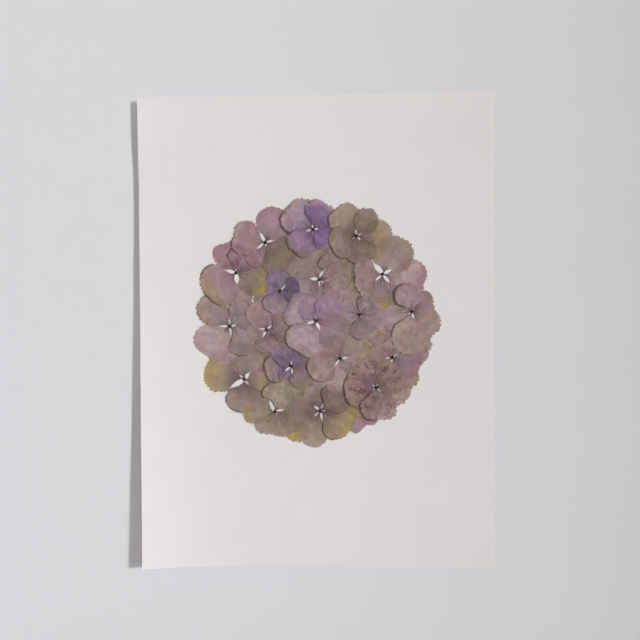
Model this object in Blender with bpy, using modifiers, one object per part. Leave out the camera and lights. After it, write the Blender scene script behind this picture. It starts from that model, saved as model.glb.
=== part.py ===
"""Pressed flower sheet: a disc of pressed hydrangea florets on a sheet of heavy paper.

Units are metres and +Z is up. The sheet hangs upright, its flat back on the plane y = 0 and its
face towards -Y, and the origin is the middle of that back. The florets lie on the face in levels,
one over another, and each floret is one piece: four or five sepals joined at a small bud.
"""

from dataclasses import dataclass
from math import cos, pi, radians, sin

import bmesh
import bpy
from mathutils import Matrix, Vector

MM = 0.001

# Paper sheet
SHEET_WIDTH = 228.6 * MM
SHEET_HEIGHT = 304.8 * MM
SHEET_THICKNESS = 0.5 * MM

# Left margin, which has curled forward off the flat
CURL_WIDTH = 34.0 * MM
CURL_LIFT_TOP = 5.0 * MM
CURL_LIFT_BOTTOM = 12.0 * MM
CURL_STRIPS = 8
CURL_ROWS = 6

# Pressed florets
SEPAL_THICKNESS = 0.15 * MM
SEPAL_STEP = 0.05 * MM
LEVEL_PITCH = 0.55 * MM
FACE_GAP = 0.25 * MM
CLAW_HALF_WIDTH = 0.35 * MM
CLAW_ROOT = 0.3 * MM
GAP_OVERLAP = 0.15 * MM
NARROW_SLIT_ANGLE = 42.0
NARROW_SLIT_LENGTH = 2.0 * MM
BLADE_CENTRE = 0.6
BLADE_ARC = (-126, -86, -60, -36, -12, 12, 36, 60, 86, 126)
TUCKED_BLADE_ARC = (-120, -70, -24, 24, 70, 120)

# Bud at the middle of each floret
BUD_RADIUS = 1.1 * MM
BUD_TIP_RADIUS = 0.5 * MM
BUD_FOOT = 0.02 * MM
BUD_HEIGHT = 0.8 * MM
FLAT_BUD_HEIGHT = 0.28 * MM
BUD_SIDES = 7

PAPER_COLOUR = "E9E5DF"
PAPER_ROUGHNESS = 0.9
PETAL_ROUGHNESS = 0.75


@dataclass(frozen=True)
class Sepal:
    """One sepal: the way it points from the bud in degrees, its reach and its breadth in mm."""

    heading: float
    reach: float
    breadth: float


@dataclass(frozen=True)
class Slit:
    """An almond-shaped opening between two claws: its heading in degrees, length and width in mm."""

    heading: float
    length: float
    width: float


@dataclass(frozen=True)
class Floret:
    """One pressed floret: its place on the sheet in mm, its level in the stack, colour and shape."""

    name: str
    x: float
    z: float
    level: int
    colour: str
    sepals: tuple
    slits: tuple = ()


# The florets that show whole or nearly so. Headings turn anticlockwise from +X, seen from the
# front, and the first sepal of each floret lies lowest.
SHOWN_FLORETS = (
    Floret("floret_violet_top", -1.5, 66.5, 4, "6A5480",
           (Sepal(146, 21.5, 27), Sepal(230, 19.5, 18.5), Sepal(58, 18.5, 20.5),
            Sepal(325, 15.5, 16)),
           (Slit(95, 3.5, 1.5), Slit(190, 4.5, 1.7), Slit(8, 4, 1.5), Slit(275, 3.5, 1))),
    Floret("floret_tan_top_right", 26.5, 62, 5, "77624F",
           (Sepal(126, 22, 22.5), Sepal(350, 23.5, 24), Sepal(288, 18.5, 20),
            Sepal(203, 18.5, 20.5), Sepal(61, 18.5, 18)),
           (Slit(97, 4.5, 1.5), Slit(30, 4, 1), Slit(220, 3.5, 1), Slit(315, 3.5, 1.2))),
    Floret("floret_pink_top_left", -32.5, 58.5, 3, "856A72",
           (Sepal(67, 22.5, 26), Sepal(241, 18, 15.5), Sepal(321, 22, 27), Sepal(165, 22, 21.5)),
           (Slit(117, 8, 2), Slit(12, 6, 1.5), Slit(217, 7, 1.5), Slit(285, 3, 1.2))),
    Floret("floret_rose_upper_left", -51.5, 39, 2, "7C6266",
           (Sepal(120, 21.5, 21), Sepal(217, 26, 30), Sepal(343, 23, 22), Sepal(62, 18, 20)),
           (Slit(165, 7.5, 2.3), Slit(98, 3, 1), Slit(275, 8.5, 3))),
    Floret("floret_indigo", -23, 27, 4, "57496B",
           (Sepal(162, 10.5, 9.5), Sepal(248, 15.5, 16), Sepal(98, 15, 14.5), Sepal(8, 13, 16)),
           (Slit(48, 5.5, 0.8), Slit(140, 2, 0.8), Slit(200, 2, 0.8), Slit(320, 2, 0.8))),
    Floret("floret_taupe_upper_middle", 2.5, 34.5, 1, "7D6A63",
           (Sepal(126, 24, 30), Sepal(205, 20, 20.5), Sepal(280, 16, 16), Sepal(332, 20, 17),
            Sepal(56, 18, 14)),
           (Slit(70, 6, 2), Slit(175, 6, 2.2), Slit(315, 4, 1.2), Slit(268, 4.5, 1.2))),
    Floret("floret_pale_left", -56, 4.5, 1, "8B7377",
           (Sepal(143, 23.5, 23), Sepal(230, 26, 29.5), Sepal(318, 22.5, 21.5),
            Sepal(38, 18.5, 19.5)),
           (Slit(92, 6, 1.5), Slit(180, 7, 1.5), Slit(8, 4.5, 1.5), Slit(280, 7, 1.5))),
    Floret("floret_pink_inner_left", -32, 2, 2, "7D646B",
           (Sepal(108, 20.5, 20), Sepal(200, 13, 13), Sepal(284, 15.5, 19), Sepal(12, 15.5, 19)),
           (Slit(165, 5, 1.2), Slit(42, 5, 1.5), Slit(240, 5.5, 1.5), Slit(318, 3, 1))),
    Floret("floret_lilac_middle", 0, 7.5, 5, "8A7083",
           (Sepal(151, 21, 24), Sepal(112, 16.5, 15), Sepal(240, 24.5, 26), Sepal(43, 19.5, 19),
            Sepal(330, 23, 23)),
           (Slit(95, 4.5, 1.2), Slit(193, 7, 1.8), Slit(48, 3, 1), Slit(293, 6, 2))),
    Floret("floret_grey_inner_right", 28, 11.5, 4, "796B74",
           (Sepal(165, 13.5, 14), Sepal(350, 17.5, 18), Sepal(57, 14, 12), Sepal(277, 16.5, 13)),
           (Slit(168, 4, 1.2), Slit(60, 2.5, 0.8), Slit(310, 2.5, 0.8))),
    Floret("floret_taupe_upper_right", 43, 37.5, 1, "84706B",
           (Sepal(344, 28.5, 28.5), Sepal(274, 22, 23), Sepal(186, 18.5, 28), Sepal(62, 25.5, 27)),
           (Slit(128, 10, 3.2), Slit(25, 6.5, 2.2), Slit(222, 6, 1.5), Slit(308, 7, 1.8))),
    Floret("floret_pink_right", 61.5, 13.5, 2, "836C6D",
           (Sepal(193, 21.5, 15), Sepal(12, 16.5, 16.5), Sepal(325, 20, 18.5),
            Sepal(266, 28.5, 24), Sepal(104, 18.5, 16)),
           (Slit(222, 3, 1), Slit(285, 5, 1.5))),
    Floret("floret_purple_lower_right", 49, -16, 1, "765C73",
           (Sepal(312, 22, 17.5), Sepal(90, 13, 11), Sepal(171, 14.5, 12.5), Sepal(347, 18, 17)),
           (Slit(188, 4.5, 1.2), Slit(258, 6, 1.5))),
    Floret("floret_speckled", 38.5, -35.5, 4, "7A5F5C",
           (Sepal(192, 20.5, 17.5), Sepal(121, 20.5, 20.5), Sepal(350, 22.5, 19.5),
            Sepal(42, 20.5, 20.5), Sepal(277, 22.5, 22.5)),
           (Slit(60, 3, 1), Slit(145, 3, 1), Slit(220, 3, 1.2), Slit(322, 5.5, 1.2))),
    Floret("floret_tan_below_middle", 15.5, -16.5, 3, "82696B",
           (Sepal(36, 21.5, 21), Sepal(128, 16.5, 18), Sepal(280, 24, 22.5), Sepal(330, 16, 14),
            Sepal(205, 23, 19.5)),
           (Slit(140, 3, 1.2), Slit(3, 5, 1.8), Slit(236, 6, 1.2), Slit(60, 2, 0.8))),
    Floret("floret_blue_violet", -16, -21.5, 1, "63566F",
           (Sepal(187, 18.5, 18), Sepal(20, 15.5, 22), Sepal(243, 12, 11), Sepal(122, 16.5, 16),
            Sepal(301, 15, 12.5)),
           (Slit(92, 3, 1), Slit(215, 5, 1.2), Slit(275, 5, 1.2))),
    Floret("floret_golden_lower_left", -47, -30, 0, "77615A",
           (Sepal(169, 25, 27), Sepal(340, 20, 22), Sepal(80, 22.5, 30), Sepal(269, 22.5, 24.5)),
           (Slit(48, 5.5, 2.5), Slit(135, 4, 1.5), Slit(212, 11.5, 3.2), Slit(308, 4.5, 1.2))),
    Floret("floret_green_lower_left", -27, -51, 1, "6E6656",
           (Sepal(353, 22, 22), Sepal(263, 17, 25), Sepal(188, 21.5, 15), Sepal(80, 19.5, 20.5)),
           (Slit(118, 9.5, 2.3), Slit(15, 6, 1.5))),
    Floret("floret_dark_bottom", 2.5, -50.5, 2, "6E5A56",
           (Sepal(187, 19.5, 17.5), Sepal(255, 24, 18), Sepal(319, 24, 23), Sepal(107, 16.5, 14),
            Sepal(39, 21.5, 19.5)),
           (Slit(143, 5, 1.5), Slit(68, 5.5, 1.2), Slit(3, 4, 1.2), Slit(222, 5, 0.8), Slit(282, 7, 2))),
)

# The florets tucked under those, of which a tip or an edge shows. Their buds are pressed flat.
TUCKED_FLORETS = (
    Floret("tucked_floret_left", -40.5, 19, 0, "765F5D",
           (Sepal(20, 11, 11.5), Sepal(140, 15, 15), Sepal(192, 17.5, 12), Sepal(290, 11.5, 11.5)),
           (Slit(100, 3, 1.5),)),
    Floret("tucked_floret_yellow_green", 49.5, 16.5, 0, "78704A",
           (Sepal(178, 13, 13), Sepal(90, 10.5, 11.5), Sepal(0, 8, 10.5), Sepal(270, 6, 9))),
    Floret("tucked_floret_olive_top", 22.5, 31, 0, "71654F",
           (Sepal(96, 24, 21), Sepal(270, 16.5, 17), Sepal(0, 9, 10.5), Sepal(126, 26, 16))),
    Floret("tucked_floret_middle", 14.5, 17.5, 2, "75655E",
           (Sepal(120, 11.5, 13), Sepal(30, 13, 13), Sepal(314, 20, 15), Sepal(210, 9, 10.5)),
           (Slit(60, 3, 1),)),
    Floret("tucked_floret_olive_lower", -5, -38, 0, "74625A",
           (Sepal(110, 12, 12.5), Sepal(20, 13.5, 13), Sepal(203, 14.5, 14), Sepal(290, 9, 10))),
    Floret("tucked_floret_olive_bottom", -11.5, -55.5, 0, "7A6747",
           (Sepal(262, 17.5, 17), Sepal(0, 8.5, 10), Sepal(180, 10.5, 10.5), Sepal(90, 6, 9))),
    Floret("tucked_floret_magenta", 34, -47.5, 0, "865E7B",
           (Sepal(235, 18.5, 12), Sepal(272, 12.5, 11.5), Sepal(90, 6.5, 7.5), Sepal(0, 7.5, 7.5))),
    Floret("tucked_floret_gold", 32, -45.5, 1, "7B6641",
           (Sepal(186, 14.5, 13.5), Sepal(235, 12, 11.5), Sepal(90, 9, 10.5), Sepal(0, 9, 10.5))),
    Floret("tucked_floret_right_rim", 59.5, -8, 0, "775F67",
           (Sepal(9, 15.5, 15), Sepal(322, 16.5, 13), Sepal(100, 9, 9), Sepal(200, 8, 9))),
    Floret("tucked_floret_right", 42.5, 2, 0, "796753",
           (Sepal(300, 9.5, 9), Sepal(262, 17, 20), Sepal(203, 13, 12.5), Sepal(15, 9, 10)),
           (Slit(150, 2.5, 1.2),)),
)


def clear_scene():
    """Remove every object of the startup scene."""
    for existing in list(bpy.data.objects):
        bpy.data.objects.remove(existing, do_unlink=True)


def new_collection(name):
    """Add a collection to the scene."""
    collection = bpy.data.collections.new(name)
    bpy.context.scene.collection.children.link(collection)
    return collection


def linear_colour(hex_colour):
    """Turn an sRGB hex colour into linear red, green, blue and alpha."""
    channels = [int(hex_colour[i:i + 2], 16) / 255 for i in (0, 2, 4)]
    linear = [c / 12.92 if c <= 0.04045 else ((c + 0.055) / 1.055) ** 2.4 for c in channels]
    return (*linear, 1.0)


def matte_material(name, hex_colour, roughness):
    """A plain matte Principled material."""
    material = bpy.data.materials.new(name)
    material.use_nodes = True
    shader = material.node_tree.nodes["Principled BSDF"]
    shader.inputs["Base Color"].default_value = linear_colour(hex_colour)
    shader.inputs["Roughness"].default_value = roughness
    shader.inputs["Metallic"].default_value = 0.0
    return material


def evaluated_mesh(source):
    """The mesh of an object with its modifiers applied."""
    depsgraph = bpy.context.evaluated_depsgraph_get()
    return bpy.data.meshes.new_from_object(source.evaluated_get(depsgraph))


def wrap_angle(angle):
    """Bring an angle in degrees between -180 and 180."""
    return (angle + 180) % 360 - 180


def neighbour_slit(sepal, slits, side):
    """The slit beside a sepal, on its left (side 1) or right (side -1), as angle off it, length, width.

    With no slit there, a short narrow one stands in, which keeps the claw slim.
    """
    beside = []
    for slit in slits:
        angle = side * wrap_angle(slit.heading - sepal.heading)
        if 5 < angle < 100:
            beside.append((angle, slit.length * MM, slit.width * MM))
    if not beside:
        return NARROW_SLIT_ANGLE, NARROW_SLIT_LENGTH, 0.0
    return min(beside)


def claw_side(slit, side):
    """The edge of a claw along a slit, from the bud out to the slit's far end."""
    angle, length, width = slit
    along = Vector((cos(radians(angle)), side * sin(radians(angle))))
    inward = Vector((sin(radians(angle)), -side * cos(radians(angle))))
    root = Vector((0.15 * length, side * CLAW_HALF_WIDTH))
    end = along * length - inward * GAP_OVERLAP
    if width == 0.0:
        return [root, end]
    return [root, along * length / 2 + inward * width / 2, end]


def sepal_outline(sepal, slits):
    """The closed outline of a sepal that points along +X: claw, round blade and claw again."""
    reach = sepal.reach * MM
    half_breadth = sepal.breadth * MM / 2
    centre = BLADE_CENTRE * reach
    arc = BLADE_ARC if slits else TUCKED_BLADE_ARC
    blade = [Vector((centre + (reach - centre) * cos(radians(turn)), half_breadth * sin(radians(turn))))
             for turn in arc]
    right = claw_side(neighbour_slit(sepal, slits, -1), -1)
    left = claw_side(neighbour_slit(sepal, slits, 1), 1)
    return [Vector((-CLAW_ROOT, 0.0))] + right + blade + left[::-1]


def plate(name, outline, thickness, collection):
    """A thin plate, centred on its own z = 0, from a flat outline."""
    curve = bpy.data.curves.new(name, "CURVE")
    curve.dimensions = "2D"
    curve.fill_mode = "BOTH"
    curve.extrude = thickness / 2
    spline = curve.splines.new("POLY")
    spline.points.add(len(outline) - 1)
    for spline_point, corner in zip(spline.points, outline):
        spline_point.co = (corner.x, corner.y, 0.0, 1.0)
    spline.use_cyclic_u = True
    flat = bpy.data.objects.new(name, curve)
    collection.objects.link(flat)
    mesh = evaluated_mesh(flat)
    bpy.data.objects.remove(flat, do_unlink=True)
    work = bmesh.new()
    work.from_mesh(mesh)
    bmesh.ops.remove_doubles(work, verts=work.verts, dist=0.005 * MM)
    bmesh.ops.recalc_face_normals(work, faces=work.faces)
    bmesh.ops.dissolve_limit(work, angle_limit=radians(1), verts=work.verts, edges=work.edges)
    work.to_mesh(mesh)
    work.free()
    solid = bpy.data.objects.new(name, mesh)
    collection.objects.link(solid)
    return solid


def bud(name, height, collection):
    """The small blunt bud, reaching through every sepal's root."""
    work = bmesh.new()
    bmesh.ops.create_cone(work, cap_ends=True, segments=BUD_SIDES, radius1=BUD_RADIUS,
                          radius2=BUD_TIP_RADIUS, depth=height)
    bmesh.ops.translate(work, verts=work.verts, vec=(0, 0, BUD_FOOT + height / 2))
    mesh = bpy.data.meshes.new(name)
    work.to_mesh(mesh)
    work.free()
    solid = bpy.data.objects.new(name, mesh)
    collection.objects.link(solid)
    return solid


def fuse(body, others):
    """Join solids to a body with exact Boolean unions, then drop the joined ones."""
    for other in others:
        union = body.modifiers.new("Join " + other.name, "BOOLEAN")
        union.operation = "UNION"
        union.solver = "EXACT"
        union.object = other
    mesh = evaluated_mesh(body)
    body.modifiers.clear()
    body.data = mesh
    for other in others:
        bpy.data.objects.remove(other, do_unlink=True)


def build_floret(floret, bud_height, sheet, collection, joiners):
    """One floret: its sepals, each a step above the last, joined at the bud."""
    plates = []
    for order, sepal in enumerate(floret.sepals):
        home = collection if order == 0 else joiners
        blade = plate(f"{floret.name}_sepal_{order}", sepal_outline(sepal, floret.slits),
                      SEPAL_THICKNESS, home)
        lift = order * SEPAL_STEP + SEPAL_THICKNESS / 2
        turn = Matrix.Rotation(radians(sepal.heading), 4, "Z")
        blade.data.transform(Matrix.Translation((0, 0, lift)) @ turn)
        plates.append(blade)
    body = plates[0]
    fuse(body, plates[1:] + [bud(floret.name + "_bud", bud_height, joiners)])
    body.name = floret.name
    body.data.name = floret.name
    body.data.materials.clear()
    body.data.materials.append(matte_material(floret.name + "_petal", floret.colour, PETAL_ROUGHNESS))
    height = SHEET_THICKNESS + FACE_GAP + floret.level * LEVEL_PITCH
    body.parent = sheet
    body.location = (floret.x * MM, -height, floret.z * MM)
    body.rotation_euler = (pi / 2, 0, 0)
    return body


def curled_point(across, up):
    """A point of the sheet's back: across from the left edge along the paper, up from its bottom."""
    x = across - SHEET_WIDTH / 2
    z = up - SHEET_HEIGHT / 2
    into_curl = max(0.0, CURL_WIDTH - across)
    lift = CURL_LIFT_BOTTOM + (CURL_LIFT_TOP - CURL_LIFT_BOTTOM) * up / SHEET_HEIGHT
    rise = lift * (into_curl / CURL_WIDTH) ** 2
    shortening = 2 * lift ** 2 * into_curl ** 3 / (3 * CURL_WIDTH ** 4)
    return Vector((x + shortening, -rise, z))


def build_sheet(collection):
    """The sheet of paper: flat, but for the left margin that curls forward."""
    columns = CURL_STRIPS + 1
    work = bmesh.new()
    bmesh.ops.create_grid(work, x_segments=columns, y_segments=CURL_ROWS, size=0.5)
    for vertex in work.verts:
        column = round((vertex.co.x + 0.5) * columns)
        up = (vertex.co.y + 0.5) * SHEET_HEIGHT
        across = SHEET_WIDTH if column == columns else column * CURL_WIDTH / CURL_STRIPS
        vertex.co = curled_point(across, up)
    mesh = bpy.data.meshes.new("sheet")
    work.to_mesh(mesh)
    work.free()
    sheet = bpy.data.objects.new("sheet", mesh)
    collection.objects.link(sheet)
    solidify = sheet.modifiers.new("Paper thickness", "SOLIDIFY")
    solidify.thickness = SHEET_THICKNESS
    solidify.offset = 1.0
    solidify.use_even_offset = True
    mesh.materials.append(matte_material("sheet_paper", PAPER_COLOUR, PAPER_ROUGHNESS))
    return sheet


def main():
    """Build the sheet and every floret on it."""
    clear_scene()
    collection = new_collection("pressed_flower_sheet")
    joiners = new_collection("joined_solids")
    sheet = build_sheet(collection)
    for floret in SHOWN_FLORETS:
        build_floret(floret, BUD_HEIGHT, sheet, collection, joiners)
    for floret in TUCKED_FLORETS:
        build_floret(floret, FLAT_BUD_HEIGHT, sheet, collection, joiners)
    bpy.data.collections.remove(joiners)


main()
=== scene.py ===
import logging
from collections.abc import Callable, Sequence
from dataclasses import dataclass, field
from enum import Enum
from math import cos, pi, radians, sin, tan
from typing import Any

import bmesh
import bpy
import numpy as np
from mathutils import Euler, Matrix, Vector


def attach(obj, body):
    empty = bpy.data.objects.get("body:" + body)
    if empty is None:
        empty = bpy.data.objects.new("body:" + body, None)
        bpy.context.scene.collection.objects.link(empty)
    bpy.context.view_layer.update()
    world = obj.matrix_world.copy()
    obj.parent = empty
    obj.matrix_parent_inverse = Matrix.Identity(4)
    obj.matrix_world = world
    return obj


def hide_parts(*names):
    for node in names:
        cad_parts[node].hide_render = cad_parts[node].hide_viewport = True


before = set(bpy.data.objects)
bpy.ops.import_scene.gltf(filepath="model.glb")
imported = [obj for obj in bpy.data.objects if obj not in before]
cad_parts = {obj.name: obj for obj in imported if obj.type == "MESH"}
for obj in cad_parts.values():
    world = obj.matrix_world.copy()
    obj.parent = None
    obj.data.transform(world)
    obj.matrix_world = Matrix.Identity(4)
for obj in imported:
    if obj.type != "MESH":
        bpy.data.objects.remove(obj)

LOG = logging.getLogger("pressed_flower_sheet")
MM = 0.001
BODY = "root"
TINY = 1e-3
PETAL_LAYERS = ("petal_tone", "petal_place", "petal_marks")

Array = np.ndarray
Limits = tuple[float, float]
Pair = tuple[float, float]
Triple = tuple[float, float, float]
Mesh = bmesh.types.BMesh
Face = bmesh.types.BMFace
Material = bpy.types.Material
Node = bpy.types.Node
Tree = bpy.types.NodeTree
Socket = bpy.types.NodeSocket


def linear(hex_colour: str) -> Array:
    """Turn an sRGB hex colour into linear red, green and blue, by the standard's own curve.

    Args:
        hex_colour: Six hex digits.

    Returns:
        Three linear values.
    """
    srgb = np.array([int(hex_colour[i:i + 2], 16) / 255 for i in (0, 2, 4)])
    return np.where(srgb <= 0.04045, srgb / 12.92, ((srgb + 0.055) / 1.055) ** 2.4)


def rgba(hex_colour: str) -> tuple[float, float, float, float]:
    """The linear colour with full alpha, as a shader socket wants it."""
    return (*(float(c) for c in linear(hex_colour)), 1.0)


def smoothstep(low: float, high: float, value: Array) -> Array:
    """A soft step from 0 at low to 1 at high."""
    t = np.clip((value - low) / (high - low), 0.0, 1.0)
    return t * t * (3.0 - 2.0 * t)


def at_least(least: float, share: Array | float) -> Array | float:
    """A share from 0 to 1, drawn in so that it runs from some least value to 1."""
    return least + (1 - least) * share


# By number, a Mix node takes its share at 0 and two colours at 6 and 7, and gives output 2. A Map
# Range node takes a value at 0, the limits that it comes from at 1 and 2, and those that it goes
# to at 3 and 4.
def add_node(tree: Tree, kind: str, settings: dict[str, Any] | None = None,
             inputs: dict[int | str, Any] | None = None) -> Node:
    """Add a node with its settings and its input values or links.

    Args:
        tree: The node tree that gets the node.
        kind: The node's type name.
        settings: Values of the node's own properties.
        inputs: For each input, by name or number, a value or the output socket that feeds it.

    Returns:
        The new node.
    """
    node = tree.nodes.new(kind)
    for name, value in (settings or {}).items():
        setattr(node, name, value)
    for key, value in (inputs or {}).items():
        if isinstance(value, Socket):
            tree.links.new(value, node.inputs[key])
        else:
            node.inputs[key].default_value = value
    return node


def new_material(name: str, surface: dict[str, Any]) -> tuple[Material, Tree, Node]:
    """Start a material from the values of its surface.

    Args:
        name: The material's name, for what it is and how it was finished.
        surface: Values of the surface shader's inputs, by name.

    Returns:
        The material, its node tree and its surface shader.
    """
    material = bpy.data.materials.new(name)
    material.use_nodes = True
    tree = material.node_tree
    shader = tree.nodes["Principled BSDF"]
    for key, value in surface.items():
        shader.inputs[key].default_value = value
    return material, tree, shader


class Tone(Enum):
    """Tones of dried hydrangea petals."""

    INDIGO = "72607A"
    BLUE_VIOLET = "8B7A91"
    VIOLET = "856B91"
    ORCHID = "A285A1"
    LILAC = "AD93A5"
    PALE_LILAC = "B19BA3"
    MAUVE = "A58792"
    ROSE = "A6838B"
    MAGENTA = "AE8899"
    PLUM = "91707A"
    DEEP_PLUM = "816C6E"
    PINK_TAUPE = "A48C8B"
    BLUSH = "AF9997"
    PALE_ROSE = "B79FA2"
    TAUPE = "9A8780"
    GREY_TAUPE = "9B898D"
    TAN = "AC988C"
    UMBER = "88746B"
    OLIVE = "8D7C6D"
    OCHRE = "A48F74"
    GOLD = "AE9964"
    YELLOW = "AB9850"
    SAGE = "A19080"
    GREEN = "988E77"
    RUST = "997F7E"


class Edge(Enum):
    """How a sepal's margin runs: its teeth's depth and spacing and its bends' size, in mm."""

    SMOOTH = (0.3, 2.4, 0.2)
    WAVY = (0.95, 2.6, 0.5)
    TOOTHED = (1.75, 2.3, 0.7)


class Tip(Enum):
    """How a sepal ends: its half breadth near and at its end, and its end's reach, as shares."""

    ROUND = (0.76, 0.42, 0.99)
    BLUNT = (0.84, 0.53, 0.97)


class Veins(Enum):
    """How strongly veins show, below zero for pale ones, and the share left far from the claw."""

    FINE = (0.8, 0.12)
    BOLD = (0.9, 0.5)
    PALE = (-0.8, 0.7)


@dataclass(frozen=True)
class Sepal:
    """One sepal: heading in degrees, reach and breadth in mm, tones outwards, margin and marks.

    The lift is how far its free margin stands off what lies under it where it looks down and
    left, in mm.
    """

    heading: float
    reach: float
    breadth: float
    inner: Tone
    outer: Tone
    rim: Tone
    edge: Edge = Edge.WAVY
    lift: float = 0.05
    veins: Veins = Veins.FINE
    speckle: float = 0.0
    tip: Tip = Tip.ROUND


@dataclass(frozen=True)
class Slit:
    """An almond-shaped opening between two claws: heading in degrees, length and width in mm."""

    heading: float
    length: float
    width: float


@dataclass(frozen=True)
class Floret:
    """One pressed floret: the CAD node it stands for, its place in mm, its sepals and slits."""

    node: str
    x: float
    z: float
    sepals: tuple[Sepal, ...]
    slits: tuple[Slit, ...] = ()


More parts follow.
